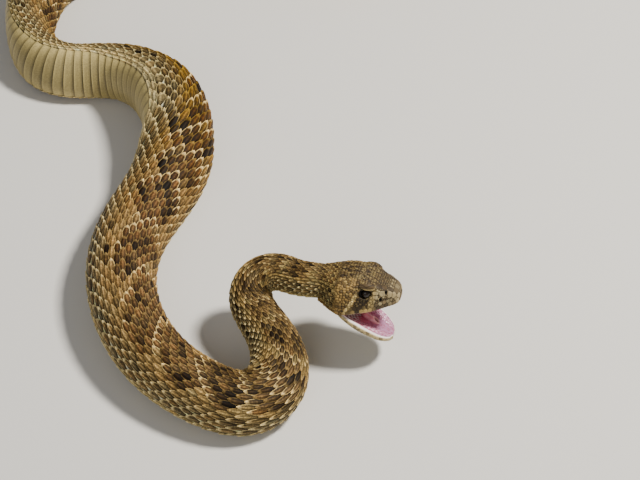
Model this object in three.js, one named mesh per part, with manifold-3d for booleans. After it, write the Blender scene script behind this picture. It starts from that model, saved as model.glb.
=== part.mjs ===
// Western diamondback rattlesnake at life size, a still model of the whole animal.
// It lies on the ground in loose bends, with the neck raised in an S, the mouth open
// and the rattle held up. Units are millimetres, +Z is up and the ground is z = 0.
import * as THREE from 'three';
import { mergeVertices } from 'three/addons/utils/BufferGeometryUtils.js';
import Module from 'manifold-3d';

const wasm = await Module();
wasm.setup();

// Driving dimensions of the body, in millimetres along the spine from the back of the head.
const ventLength = 1010;
const tailLength = 92;
const rattleLength = 42;
const widthOverGirth = 1.06;
const heightOverGirth = 0.94;
const bellyDepth = 0.9;
const bellySquareness = 0.7;
const groundPress = 0.8;
const meetingGap = 0.3;

// Half the thickness of the body along the spine.
const girthStations = [
  [0, 10.6], [40, 11.2], [60, 12.3], [80, 14], [120, 17], [180, 19], [260, 20], [340, 21], [405, 24],
  [435, 23.2], [465, 19.4], [490, 16.8], [530, 16.6], [600, 18.2], [800, 18.2], [950, 14], [1010, 10.5],
  [1060, 7.6], [1102, 5.6], [1150, 5.6],
];

// Lean of the back to the animal's right, in degrees, along the spine.
const leanStations = [
  [0, -15], [30, -4], [75, 26], [105, 28], [122, 24], [140, 10], [165, -5], [200, -16],
  [235, -27], [265, -35], [300, -36], [345, -31], [375, -44], [405, -76], [475, -92],
  [506, -116], [535, -108], [600, -50], [680, 0], [1150, 0],
];

// Points that steer the spine: x, y and the height of the underside above the ground.
const spineSteer = [
  [1.2, -78.4, 35.5], [-4.7, -77.1, 35.5], [-14, -73.7, 33.5], [-22, -67.5, 32.5],
  [-30, -66, 31], [-37, -68, 28], [-41, -74, 23], [-40.5, -82, 18], [-34, -92.5, 13],
  [-26, -105.5, 8.5], [-22, -122.5, 5], [-26.5, -140, 2], [-42.5, -149, 0], [-60, -143.5, 0],
  [-78, -132.5, 0], [-95.5, -116, 0], [-110, -92, 0], [-118.5, -64, 0], [-119.5, -35, 0],
  [-113, -7, 0], [-101.5, 17, 0], [-91.5, 40, 0], [-88, 68.5, 0], [-95.5, 101.5, 0],
  [-110.5, 125, 0], [-128.5, 138, 0], [-146, 140, 0], [-163, 139, 0], [-178.5, 145, 0],
  [-188.5, 158.5, 0], [-193, 177, 0], [-192, 200, 0], [-187, 224, 0], [-174, 246, 0],
  [-150, 263, 0], [-119, 272, 0], [-84, 273, 0], [-49, 267, 0], [-17, 257, 0], [14, 251, 0],
  [43, 254, 0], [66, 270, 0], [75, 293, 0], [67, 316, 0], [46, 328, 0], [24, 325, 0],
  [9, 313, 0], [3, 300, 3], [1, 291, 12], [0, 286, 24], [-0.5, 282, 38], [-1, 278, 52],
  [-1.5, 274, 66], [-2, 270, 80], [-2.5, 266, 94], [-3, 262, 108],
];

// Middle of the whole animal's footprint, x and y, which becomes the model's origin.
const footprintMiddle = [-60.5, 87.5];

// Where the body is parted into lengths.
const neckCuts = [0, 33, 64, 104];
const bodyCuts = [104, 148, 205, 275, 345, 412, 468, 520, 600, 690, 780, 870, 945, ventLength];

// Section of the body: angles in degrees from the middle of the back, one side of it.
const sectionAngles = [0, 30, 58, 84, 110, 120, 150, 180];
const scutePitchOverGirth = 0.42;
const leastScutePitch = 5.2;
const scuteRise = 0.6;
const scuteEdgeAngle = 118;
const scuteStepShare = 0.16;

// Driving dimensions of the head, along its own axis from the neck joint to the snout.
const headLength = 47.2;
const headYaw = -12.5;
const headPitch = -1;
const headRoll = -15;
const gapeAngle = 29;
const mouthCorner = 15.4;
const headHalfWidth = [
  [0, 11.2], [2, 12.6], [5, 15.4], [8, 17.5], [12, 18.8], [16, 18.7], [20, 17.7], [25, 15.8],
  [30, 14.1], [36, 11.8], [41, 9.8], [44, 8.2], [46, 6.2], [headLength, 3.6],
];
const crownHeight = [
  [0, 9.7], [6, 10], [13, 11.2], [20, 12.6], [25, 12.4], [30, 10.9], [35, 8.8], [41, 6.8],
  [45, 4.9], [headLength, 2.4],
];
const lipHeight = [
  [0, -9.2], [mouthCorner, -9.3], [21, -8.6], [30, -7.2], [35.5, -5.6], [41, -3.4],
  [45, -2.2], [headLength, -1.4],
];
const throatHeight = [[0, -9.2], [5, -9.8], [10, -11.8], [mouthCorner, -13.4]];
const palateRise = [
  [mouthCorner, 0.26], [35, 0.24], [41, 0.12], [45, 0.02], [headLength, 0.02],
];
const cheekLevel = 0.26;
const throatRoundness = 0.85;
const throatSteps = 6;
const eye = { along: 28.1, out: 12.7, up: 5, radius: 3, clearance: 0.3 };
const brow = { along: 29.2, reach: 4.6, out: 1.3, up: 0.9 };
const pit = { along: 36.8, out: 11.3, up: 1.4, radius: 1.3 };
const nostril = { along: 39.3, out: 9.4, up: 5.7, radius: 1 };
const jawLength = 29.4;
const jawDepth = [[0, 5], [10, 5.6], [20, 4.8], [jawLength, 3.2]];
const jawHalfWidth = [
  [0, 17.4], [6, 17.2], [12, 16.4], [18, 14.9], [22, 13.5], [25.5, 11], [28, 7.6],
  [jawLength, 3.4],
];
const jawHollow = [[0, 0.5], [10, 0.45], [20, 0.2], [26, 0.15], [jawLength, 0.05]];
const jawClearance = 0.45;
const glottis = { along: 18.5, length: 5, halfWidth: 1.9, rise: 1.9 };

// Driving dimensions of the rattle. Each lobe is a list of place along it and share of its size.
const rattleSegments = 9;
const rattleHalfHeight = [6.3, 4.4];
const rattleHalfWidth = [3.9, 2.9];
const rattleLobe = [[0.06, 0.8], [0.22, 1], [0.72, 0.94], [0.94, 0.78]];
const rattleWaist = { depth: 0.16, spread: 0.35 };
const rattleSides = 14;

const colours = {
  head: 0x8f7350, jaw: 0xd9c3a2, eye: 0x2b2116, body: 0x94703f, neck: 0x8c6c42,
  tail: 0xcfc9bc, rattle: 0xa98a5c,
};

const radians = THREE.MathUtils.degToRad;

// A smooth value along a line, through rows of place and value, level at both ends.
function alongStations(rows) {
  const slope = rows.map((row, i) => {
    if (i === 0 || i === rows.length - 1) return 0;
    const [before, after] = [rows[i - 1], rows[i + 1]];
    return (after[1] - before[1]) / (after[0] - before[0]);
  });
  return (place) => {
    if (place <= rows[0][0]) return rows[0][1];
    const last = rows.length - 1;
    if (place >= rows[last][0]) return rows[last][1];
    let i = 0;
    while (rows[i + 1][0] < place) i += 1;
    const span = rows[i + 1][0] - rows[i][0];
    const t = (place - rows[i][0]) / span;
    const rise = t * t * (3 - 2 * t);
    const bendIn = t * (1 - t) * (1 - t) * span * slope[i];
    const bendOut = t * t * (t - 1) * span * slope[i + 1];
    return rows[i][1] * (1 - rise) + rows[i + 1][1] * rise + bendIn + bendOut;
  };
}

const girth = alongStations(girthStations);
const lean = alongStations(leanStations);

// The spine is a cubic B-spline of the steering points, sampled finely and measured.
function sampleSpine(steer, stepsPerSpan) {
  const first = steer[0].map((v, k) => 2 * v - steer[1][k]);
  const end = steer.length - 1;
  const last = steer[end].map((v, k) => 2 * v - steer[end - 1][k]);
  const points = [first, ...steer, last];
  const samples = [];
  for (let i = 0; i + 3 < points.length; i += 1) {
    const lastSpan = i + 4 === points.length;
    for (let j = 0; j < stepsPerSpan + (lastSpan ? 1 : 0); j += 1) {
      const t = j / stepsPerSpan;
      const weights = [
        (1 - t) ** 3 / 6,
        (3 * t ** 3 - 6 * t ** 2 + 4) / 6,
        (-3 * t ** 3 + 3 * t ** 2 + 3 * t + 1) / 6,
        t ** 3 / 6,
      ];
      const mix = [0, 1, 2].map((k) => weights.reduce((sum, w, n) => sum + w * points[i + n][k], 0));
      samples.push(new THREE.Vector3(...mix));
    }
  }
  const lengths = [0];
  for (let i = 1; i < samples.length; i += 1) {
    lengths.push(lengths[i - 1] + samples[i].distanceTo(samples[i - 1]));
  }
  return { samples, lengths };
}

const spine = sampleSpine(spineSteer, 40);

function steeredPoint(s) {
  let low = 0;
  let high = spine.lengths.length - 1;
  while (high - low > 1) {
    const middle = (low + high) >> 1;
    if (spine.lengths[middle] > s) high = middle;
    else low = middle;
  }
  const t = (s - spine.lengths[low]) / (spine.lengths[high] - spine.lengths[low]);
  return spine.samples[low].clone().lerp(spine.samples[high], t);
}

// A point of the body's section, across and up, at an angle from the middle of the back.
function sectionPoint(s, angle) {
  const across = girth(s) * widthOverGirth * Math.sin(radians(angle));
  const cosine = Math.cos(radians(angle));
  const height = girth(s) * heightOverGirth;
  const up = cosine >= 0 ? height * cosine : -bellyDepth * height * (-cosine) ** bellySquareness;
  return [across, up];
}

function lowestReach(s) {
  const tilt = radians(lean(s));
  let lowest = 0;
  for (let angle = -180; angle < 180; angle += 4) {
    const [across, up] = sectionPoint(s, angle);
    lowest = Math.min(lowest, up * Math.cos(tilt) - across * Math.sin(tilt));
  }
  return -lowest;
}

function spineCentre(s) {
  const point = steeredPoint(s);
  point.z += lowestReach(s) - groundPress;
  return point;
}

// Centre, tangent towards the tail, right side and back of the body at a place on the spine.
function spineFrame(s) {
  const centre = spineCentre(s);
  const step = 0.5;
  const from = spineCentre(Math.max(0, s - step));
  const to = spineCentre(s + step);
  const tangent = to.sub(from).normalize();
  const side = new THREE.Vector3(0, 0, 1).cross(tangent).normalize();
  const up = tangent.clone().cross(side);
  const tilt = radians(lean(s));
  const back = up.clone().multiplyScalar(Math.cos(tilt)).addScaledVector(side, Math.sin(tilt));
  const right = side.clone().multiplyScalar(Math.cos(tilt)).addScaledVector(up, -Math.sin(tilt));
  return { centre, tangent, right, back };
}

// A closed solid from rings of equal count, each a list of points, with fans on both ends.
function loft(rings) {
  const count = rings[0].length;
  const positions = [];
  rings.forEach((ring) => ring.forEach((p) => positions.push(p.x, p.y, p.z)));
  const ends = [rings[0], rings[rings.length - 1]];
  ends.forEach((ring) => {
    const middle = new THREE.Vector3();
    ring.forEach((p) => middle.addScaledVector(p, 1 / count));
    positions.push(middle.x, middle.y, middle.z);
  });
  const faces = [];
  for (let i = 0; i + 1 < rings.length; i += 1) {
    for (let j = 0; j < count; j += 1) {
      const a = i * count + j;
      const b = i * count + ((j + 1) % count);
      faces.push(a, b, b + count, a, b + count, a + count);
    }
  }
  const firstMiddle = rings.length * count;
  const lastRing = (rings.length - 1) * count;
  for (let j = 0; j < count; j += 1) {
    const k = (j + 1) % count;
    faces.push(firstMiddle, k, j);
    faces.push(firstMiddle + 1, lastRing + j, lastRing + k);
  }
  const geometry = new THREE.BufferGeometry();
  geometry.setAttribute('position', new THREE.Float32BufferAttribute(positions, 3));
  geometry.setIndex(faces);
  return geometry;
}

function toSolid(geometry) {
  const bare = geometry.clone();
  bare.deleteAttribute('normal');
  bare.deleteAttribute('uv');
  const merged = mergeVertices(bare, 1e-3);
  const vertProperties = new Float32Array(merged.attributes.position.array);
  const triVerts = new Uint32Array(merged.index.array);
  return new wasm.Manifold(new wasm.Mesh({ numProp: 3, vertProperties, triVerts }));
}

// The largest closed surface of a solid, back as a geometry.
function toGeometry(solid) {
  const parts = solid.decompose();
  const largest = parts.reduce((a, b) => (b.volume() > a.volume() ? b : a));
  const mesh = largest.getMesh();
  const geometry = new THREE.BufferGeometry();
  geometry.setAttribute('position', new THREE.Float32BufferAttribute(mesh.vertProperties, 3));
  geometry.setIndex(Array.from(mesh.triVerts));
  return geometry;
}

const snake = new THREE.Group();

function addPiece(name, geometry, colour, roughness = 0.6) {
  const material = new THREE.MeshStandardMaterial({ color: colour, roughness, metalness: 0 });
  const flat = geometry.index ? geometry.toNonIndexed() : geometry;
  flat.computeVertexNormals();
  const mesh = new THREE.Mesh(flat, material);
  mesh.name = name;
  snake.add(mesh);
  return mesh;
}

// One ring of the body, with its belly raised by the plate's height, kept above the ground.
function bodyRing(s, plateHeight) {
  const { centre, right, back } = spineFrame(s);
  const halves = [...sectionAngles, ...sectionAngles.slice(1, -1).reverse().map((a) => -a)];
  return halves.map((angle) => {
    const [across, up] = sectionPoint(s, angle);
    const raised = Math.abs(angle) > scuteEdgeAngle ? plateHeight : 0;
    const stretch = 1 + raised / Math.hypot(across, up);
    const point = centre.clone();
    point.addScaledVector(right, across * stretch).addScaledVector(back, up * stretch);
    point.z = Math.max(point.z, 0);
    return point;
  }).reverse();
}

// A length of the body with its belly plates, each rising to its rear edge.
function bodyLength(from, to) {
  const start = from + meetingGap / 2;
  const end = to - meetingGap / 2;
  const wantedPitch = Math.max(leastScutePitch, girth((from + to) / 2) * scutePitchOverGirth);
  const plates = Math.round((end - start) / wantedPitch);
  const pitch = (end - start) / plates;
  const rings = [];
  for (let i = 0; i < plates; i += 1) {
    rings.push(bodyRing(start + i * pitch, 0));
    rings.push(bodyRing(start + (i + 1 - scuteStepShare) * pitch, scuteRise));
  }
  rings.push(bodyRing(end, 0));
  return loft(rings);
}

// The head's own axes: x to the snout, y to its left, z to its crown.
const neckFrame = spineFrame(0);
const headAxes = (() => {
  const yaw = radians(headYaw);
  const pitch = radians(headPitch);
  const forward = new THREE.Vector3(
    Math.cos(yaw) * Math.cos(pitch), Math.sin(yaw) * Math.cos(pitch), Math.sin(pitch));
  const level = new THREE.Vector3(0, 0, 1).cross(forward).normalize();
  const upright = forward.clone().cross(level);
  const roll = radians(headRoll);
  const left = level.clone().multiplyScalar(Math.cos(roll)).addScaledVector(upright, Math.sin(roll));
  const crown = forward.clone().cross(left);
  return new THREE.Matrix4().makeBasis(forward, left, crown).setPosition(neckFrame.centre);
})();

const halfWidthAt = alongStations(headHalfWidth);
const crownAt = alongStations(crownHeight);
const lipAt = alongStations(lipHeight);
const throatAt = alongStations(throatHeight);
const palateAt = alongStations(palateRise);

// Half sections of the head as shares of half width and of the height from lip to crown:
// a rounded one behind the eyes and an angular one with a sharp canthus on the snout.
const roundHalf = [[0, 1], [0.3, 0.99], [0.55, 0.95], [0.76, 0.86], [0.9, 0.7], [0.98, 0.48], [1, 0.26]];
const angularHalf = [[0, 1], [0.36, 1], [0.64, 0.98], [0.84, 0.91], [0.92, 0.72], [0.97, 0.48], [1, 0.26]];
const lipHalf = [[0.99, 0.1], [0.94, 0], [0.85, 0.01]];

// The palate as shares of half width and of its own rise.
const palateHalf = [[0.76, 0.6], [0.42, 1], [0, 1.1]];

// The rows of the half section that the brow moves, with its share at each.
const browRows = { 2: 0.5, 3: 1 };

function headHalf(x, openMouth) {
  const width = halfWidthAt(x);
  const crown = crownAt(x);
  const lip = lipAt(x);
  const angular = THREE.MathUtils.smoothstep(x, 20, 34);
  const browShare = Math.exp(-(((x - brow.along) / brow.reach) ** 2));
  const half = roundHalf.map(([y, z], k) => {
    const outShare = y + (angularHalf[k][0] - y) * angular;
    const upShare = z + (angularHalf[k][1] - z) * angular;
    const browHere = browShare * (browRows[k] ?? 0);
    return [outShare * width + brow.out * browHere, lip + (crown - lip) * upShare + brow.up * browHere];
  });
  if (openMouth) {
    const rise = palateAt(x);
    lipHalf.forEach(([y, z]) => half.push([y * width, lip + (crown - lip) * z]));
    palateHalf.forEach(([y, z]) => half.push([y * width, lip + (crown - lip) * rise * z]));
    return half;
  }
  const sideLevel = lip + (crown - lip) * cheekLevel;
  const throat = throatAt(x);
  for (let k = 1; k <= throatSteps; k += 1) {
    const turn = radians((k * 90) / throatSteps);
    const out = width * Math.cos(turn) ** throatRoundness;
    half.push([out, sideLevel - (sideLevel - throat) * Math.sin(turn)]);
  }
  return half;
}

// A whole ring of a head section at x, from its half, shifted down by a drop.
function headRing(x, half, drop = 0) {
  const last = half.length - 1;
  const left = half.map(([y, z]) => new THREE.Vector3(x, y, z - drop));
  const right = half.slice(1, last).reverse().map(([y, z]) => new THREE.Vector3(x, -y, z - drop));
  return [...left, ...right].reverse();
}

function cutBall({ along, out, up, radius }, side, grow = 0) {
  const ball = new THREE.SphereGeometry(radius + grow, 14, 9);
  ball.translate(along, side * out, up);
  return toSolid(ball);
}

function headGeometry() {
  const stepWidth = 0.3;
  const rear = [meetingGap / 2, 2.2, 4.5, 7, 9.5, 12.3, mouthCorner - stepWidth];
  const front = [
    mouthCorner, 18, 20.5, 23, 25.3, 27.3, 29, 30.7, 32.5, 34.5, 36.7, 39, 41, 42.8, 44.4, 45.7,
    46.6, headLength,
  ];
  const rings = [
    ...rear.map((x) => headRing(x, headHalf(x, false))),
    ...front.map((x) => headRing(x, headHalf(x, true))),
  ];
  let solid = toSolid(loft(rings));
  for (const side of [-1, 1]) {
    solid = solid.subtract(cutBall(eye, side, eye.clearance));
    solid = solid.subtract(cutBall(pit, side));
    solid = solid.subtract(cutBall(nostril, side));
  }
  return toGeometry(solid);
}

// The lower jaw hangs open: its sections drop along the gape from the mouth's corner.
const jawDepthAt = alongStations(jawDepth);
const jawWidthAt = alongStations(jawHalfWidth);
const jawHollowAt = alongStations(jawHollow);

// Half section of the jaw: its floor as shares of half width and hollow, then its rim and
// underside as shares of half width and depth.
const jawFloorHalf = [[0, 1], [0.4, 1], [0.72, 0.75], [0.82, 0.05]];
const jawOuterHalf = [[0.93, 0], [1, 0.22], [0.97, 0.6], [0.72, 0.92], [0.36, 1], [0, 1]];

function jawHalf(d) {
  const width = jawWidthAt(d);
  const depth = jawDepthAt(d);
  const hollow = depth * jawHollowAt(d);
  return [
    ...jawFloorHalf.map(([y, z]) => [y * width, -z * hollow]),
    ...jawOuterHalf.map(([y, z]) => [y * width, -z * depth]),
  ];
}

function jawDrop(d) {
  return d * Math.tan(radians(gapeAngle)) - lipAt(mouthCorner) + jawClearance;
}

function jawGeometry() {
  const stations = [0, 3, 6, 9, 12, 15, 18, 20.5, 22.5, 24.5, 26.5, 28, jawLength];
  const rings = stations.map((d) => headRing(mouthCorner + meetingGap + d, jawHalf(d), jawDrop(d)));
  const mound = new THREE.SphereGeometry(1, 12, 8);
  mound.scale(glottis.length, glottis.halfWidth, glottis.rise);
  mound.rotateY(radians(gapeAngle));
  const floorDepth = jawDepthAt(glottis.along) * jawHollowAt(glottis.along);
  mound.translate(mouthCorner + glottis.along, 0, -jawDrop(glottis.along) - floorDepth);
  return toGeometry(toSolid(loft(rings)).add(toSolid(mound)));
}

// The rattle's segments are hollow horn in life, and here one closed string of lobes.
function rattleGeometry(from) {
  const pitch = rattleLength / rattleSegments;
  const rings = [];
  for (let i = 0; i < rattleSegments; i += 1) {
    const share = i / (rattleSegments - 1);
    const halfHeight = THREE.MathUtils.lerp(...rattleHalfHeight, share);
    const halfWidth = THREE.MathUtils.lerp(...rattleHalfWidth, share);
    rattleLobe.forEach(([place, size]) => {
      const s = from + meetingGap / 2 + (i + place) * pitch;
      const { centre, right, back } = spineFrame(s);
      const ring = [];
      for (let k = 0; k < rattleSides; k += 1) {
        const turn = (k / rattleSides) * 2 * Math.PI;
        const pinch = Math.exp(-((Math.cos(turn) / rattleWaist.spread) ** 2));
        const waist = 1 - rattleWaist.depth * pinch;
        const point = centre.clone();
        point.addScaledVector(right, halfWidth * size * waist * Math.sin(turn));
        point.addScaledVector(back, halfHeight * size * Math.cos(turn));
        ring.push(point);
      }
      rings.push(ring.reverse());
    });
  }
  return loft(rings);
}

snake.position.set(-footprintMiddle[0], -footprintMiddle[1], 0);
addPiece('head', headGeometry(), colours.head).applyMatrix4(headAxes);
addPiece('lower_jaw', jawGeometry(), colours.jaw).applyMatrix4(headAxes);
for (const [name, side] of [['eye_left', 1], ['eye_right', -1]]) {
  const ball = new THREE.SphereGeometry(eye.radius, 16, 10);
  ball.translate(eye.along, side * eye.out, eye.up);
  addPiece(name, ball, colours.eye, 0.1).applyMatrix4(headAxes);
}
neckCuts.slice(1).forEach((to, i) => {
  addPiece(`neck_${i + 1}`, bodyLength(neckCuts[i], to), colours.neck);
});
bodyCuts.slice(1).forEach((to, i) => {
  const number = String(i + 1).padStart(2, '0');
  addPiece(`body_${number}`, bodyLength(bodyCuts[i], to), colours.body);
});
addPiece('tail', bodyLength(ventLength, ventLength + tailLength), colours.tail);
addPiece('rattle', rattleGeometry(ventLength + tailLength), colours.rattle, 0.5);

export default snake;
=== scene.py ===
import math

import bpy
import numpy as np
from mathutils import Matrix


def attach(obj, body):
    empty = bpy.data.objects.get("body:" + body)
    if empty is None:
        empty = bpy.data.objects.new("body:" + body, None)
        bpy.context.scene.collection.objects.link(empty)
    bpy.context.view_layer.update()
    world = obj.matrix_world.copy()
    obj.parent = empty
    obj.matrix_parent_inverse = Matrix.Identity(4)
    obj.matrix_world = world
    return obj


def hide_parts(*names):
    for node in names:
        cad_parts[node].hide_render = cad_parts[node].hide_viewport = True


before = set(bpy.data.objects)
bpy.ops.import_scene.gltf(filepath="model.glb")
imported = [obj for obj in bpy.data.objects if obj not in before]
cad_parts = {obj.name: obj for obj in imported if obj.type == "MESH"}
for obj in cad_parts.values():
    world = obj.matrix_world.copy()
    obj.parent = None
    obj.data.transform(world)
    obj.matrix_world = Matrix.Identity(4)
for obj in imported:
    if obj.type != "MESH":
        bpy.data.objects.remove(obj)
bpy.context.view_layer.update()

# Camera
# It looks down on the snake at half a right angle, from in front of the low bend of the body.
# A long lens keeps the perspective flat.
aim_point = np.array([0.0605, -0.0875, 0.0])
camera_distance = 1.6
camera_elevation = math.radians(45)
lens_length = 145.8
sensor_width = 36.0
farthest_sight = 20.0
camera_data = bpy.data.cameras.new("camera")
camera_data.lens = lens_length
camera_data.sensor_width = sensor_width
camera_data.clip_end = farthest_sight
camera = bpy.data.objects.new("camera", camera_data)
camera.location = aim_point + camera_distance * np.array(
    [0.0, -math.cos(camera_elevation), math.sin(camera_elevation)])
camera.rotation_euler = (math.pi / 2 - camera_elevation, 0.0, 0.0)
bpy.context.scene.collection.objects.link(camera)
bpy.context.scene.camera = camera

# Skin of neck, body and tail
# The real skin is a thin elastic sleeve, seen between the scales. Its colour is darkened as
# painted shade, so that the gaps between the scales show as dark lines. It is one closed tube,
# swept along the spine, just under the scales that grow on it. Sizes are in millimetres, and
# places are lengths along the spine from the neck joint.
millimetre = 0.001

# Points that steer the spine: two places on the ground, and the underside's height above it.
spine_steer = np.array([
    [1.2, -78.4, 35.5], [-4.7, -77.1, 35.5], [-14, -73.7, 33.5], [-22, -67.5, 32.5],
    [-30, -66, 31], [-37, -68, 28], [-41, -74, 23], [-40.5, -82, 18], [-34, -92.5, 13],
    [-26, -105.5, 8.5], [-22, -122.5, 5], [-26.5, -140, 2], [-42.5, -149, 0], [-60, -143.5, 0],
    [-78, -132.5, 0], [-95.5, -116, 0], [-110, -92, 0], [-118.5, -64, 0], [-119.5, -35, 0],
    [-113, -7, 0], [-101.5, 17, 0], [-91.5, 40, 0], [-88, 68.5, 0], [-95.5, 101.5, 0],
    [-110.5, 125, 0], [-128.5, 138, 0], [-146, 140, 0], [-163, 139, 0], [-178.5, 145, 0],
    [-188.5, 158.5, 0], [-193, 177, 0], [-192, 200, 0], [-187, 224, 0], [-174, 246, 0],
    [-150, 263, 0], [-119, 272, 0], [-84, 273, 0], [-49, 267, 0], [-17, 257, 0], [14, 251, 0],
    [43, 254, 0], [66, 270, 0], [75, 293, 0], [67, 316, 0], [46, 328, 0], [24, 325, 0],
    [9, 313, 0], [3, 300, 3], [1, 291, 12], [0, 286, 24], [-0.5, 282, 38], [-1, 278, 52],
    [-1.5, 274, 66], [-2, 270, 80], [-2.5, 266, 94], [-3, 262, 108]])

# Half the thickness of the body by its place.
girth_stations = np.array([
    [0, 10.6], [40, 11.2], [60, 12.3], [80, 14], [120, 17], [180, 19], [260, 20], [340, 21],
    [405, 24], [435, 23.2], [465, 19.4], [490, 16.8], [530, 16.6], [600, 18.2], [800, 18.2],
    [950, 14], [1010, 10.5], [1060, 7.6], [1102, 5.6], [1150, 5.6]])

# Lean of the back to the animal's right by its place, in degrees.
lean_stations = np.array([
    [0, -15], [30, -4], [75, 26], [105, 28], [122, 24], [140, 10], [165, -5], [200, -16],
    [235, -27], [265, -35], [300, -36], [345, -31], [375, -44], [405, -76], [475, -92],
    [506, -116], [535, -108], [600, -50], [680, 0], [1150, 0]])

footprint_middle = np.array([-60.5, 87.5, 0.0])
vent = 1010.0
tail_end = 1102.0
width_over_girth = 1.06
height_over_girth = 0.94
belly_depth = 0.9
belly_squareness = 0.7
ground_press = 0.8
ground_softness = 0.6
skin_depth = 0.75
spline_steps = 40
straight_end = 60.0
frame_lead = 4
frame_end = 1152
normal_step = 0.02


def along_stations(rows):
    """A smooth curve through rows of place and value: cubic pieces whose slope at each row is
    that of the chord between its neighbours, and level at both ends."""
    rows = np.asarray(rows, float)
    place, value = rows[:, 0], rows[:, 1]
    slope = np.zeros_like(value)
    slope[1:-1] = (value[2:] - value[:-2]) / (place[2:] - place[:-2])

    def curve(x):
        """The cubic piece at each x, held at the end values beyond them."""
        x = np.clip(np.asarray(x, float), place[0], place[-1])
        i = np.clip(np.searchsorted(place, x, side="right") - 1, 0, len(place) - 2)
        span = place[i + 1] - place[i]
        t = (x - place[i]) / span
        rise = t * t * (3 - 2 * t)
        bends = t * (1 - t) ** 2 * slope[i] + t * t * (t - 1) * slope[i + 1]
        return value[i] * (1 - rise) + value[i + 1] * rise + span * bends
    return curve


def sample_spline(steer, steps):
    """Uniform cubic B-spline of the steering points, with a mirrored point past each end, and
    carried on straight past its last point."""
    points = np.vstack([2 * steer[0] - steer[1], steer, 2 * steer[-1] - steer[-2]])
    t = (np.arange(steps) / steps)[:, None]
    weights = [(1 - t) ** 3, 3 * t**3 - 6 * t**2 + 4, -3 * t**3 + 3 * t**2 + 3 * t + 1, t**3]
    spans = [sum(w * points[i + k] for k, w in enumerate(weights)) / 6
             for i in range(len(points) - 3)]
    samples = np.vstack(spans + [(points[-3] + 4 * points[-2] + points[-1])[None] / 6])
    last_step = samples[-1] - samples[-2]
    return np.vstack([samples, samples[-1] + straight_end * last_step / np.linalg.norm(last_step)])


girth = along_stations(girth_stations)
lean = along_stations(lean_stations)
spine_points = sample_spline(spine_steer, spline_steps)
spine_lengths = np.r_[0, np.cumsum(np.linalg.norm(np.diff(spine_points, axis=0), axis=1))]


def body_section(s, angle):
    """Across and up in millimetres: a half ellipse over the middle, and under it a squarer half
    whose depth follows the cosine to a power below one."""
    cosine = np.cos(angle)
    height = girth(s) * height_over_girth
    up = np.where(cosine >= 0, cosine, -belly_depth * np.abs(cosine) ** belly_squareness)
    return girth(s) * width_over_girth * np.sin(angle), height * up


def spine_centre(s):
    """The steering spline at length s, raised so that the section's underside meets the ground
    and is pressed into it a little."""
    point = np.stack([np.interp(s, spine_lengths, spine_points[:, k]) for k in range(3)], -1)
    turn = np.radians(np.arange(-180, 180, 4.0))
    across, up = body_section(s[..., None], turn)
    tilt = np.radians(lean(s))[..., None]
    point[..., 2] -= np.min(up * np.cos(tilt) - across * np.sin(tilt), axis=-1) + ground_press
    return point


frame_places = np.arange(-frame_lead, frame_end, 1.0)
frame_centres = spine_centre(np.maximum(frame_places, 0.0))
mirrored_lead = frame_centres[2 * frame_lead:frame_lead:-1]
frame_centres[:frame_lead] = 2 * frame_centres[frame_lead] - mirrored_lead
frame_slopes = np.gradient(frame_centres, axis=0)


def spine_frame(s):
    """Centre, right side and back at length s, read from samples a millimetre apart, with the
    lean turning side and back about the tangent to the tail."""
    centre = np.stack([np.interp(s, frame_places, frame_centres[:, k]) for k in range(3)], -1)
    tangent = np.stack([np.interp(s, frame_places, frame_slopes[:, k]) for k in range(3)], -1)
    tangent /= np.linalg.norm(tangent, axis=-1, keepdims=True)
    side = np.cross([0.0, 0.0, 1.0], tangent)
    side /= np.linalg.norm(side, axis=-1, keepdims=True)
    up = np.cross(tangent, side)
    tilt = np.radians(lean(s))[..., None]
    right = side * np.cos(tilt) - up * np.sin(tilt)
    return centre, right, up * np.cos(tilt) + side * np.sin(tilt)


def body_surface(s, angle, height):
    """Points on the body: the section's point, moved out along the section's own normal by a
    height, then eased up from the ground so that nothing passes below it. Metres."""
    s, angle, height = np.broadcast_arrays(s, angle, height)
    centre, right, back = spine_frame(s)
    across, up = body_section(s, angle)
    across_2, up_2 = body_section(s, angle + normal_step)
    across_1, up_1 = body_section(s, angle - normal_step)
    normal = np.stack([up_1 - up_2, across_2 - across_1], -1)
    normal /= np.linalg.norm(normal, axis=-1, keepdims=True)
    point = centre + right * (across + height * normal[..., 0])[..., None]
    point += back * (up + height * normal[..., 1])[..., None]
    low = point[..., 2]
    point[..., 2] = 0.5 * (low + np.sqrt(low**2 + ground_softness**2))
    return (point - footprint_middle) * millimetre


def to_linear(hex_colour):
    """A six digit sRGB hex colour as linear red, green and blue."""
    parts = np.array([int(hex_colour[i:i + 2], 16) for i in (0, 2, 4)]) / 255
    return np.where(parts <= 0.04045, parts / 12.92, ((parts + 0.055) / 1.055) ** 2.4)


def smooth_step(low, high, x):
    """0 below low, 1 above high, and an S curve between."""
    t = np.clip((x - low) / (high - low), 0, 1)
    return t * t * (3 - 2 * t)


def blend(first, second, share):
    """Colours from first to second by a share for each place."""
    share = np.asarray(share)[..., None]
    return first * (1 - share) + second * share


unwrap_margin = 0.02
unwrap_span = 0.96
unwrap_ends = np.array([[0.5 * unwrap_margin, 0.5], [1 - 0.5 * unwrap_margin, 0.5]])


def unwrap_place(along, round_share):
    """Place on a piece's own unwrap, inside its margin: a share along it and one round it."""
    return np.stack(np.broadcast_arrays(unwrap_margin + unwrap_span * along,
                                        unwrap_margin + unwrap_span * round_share), -1)


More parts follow.
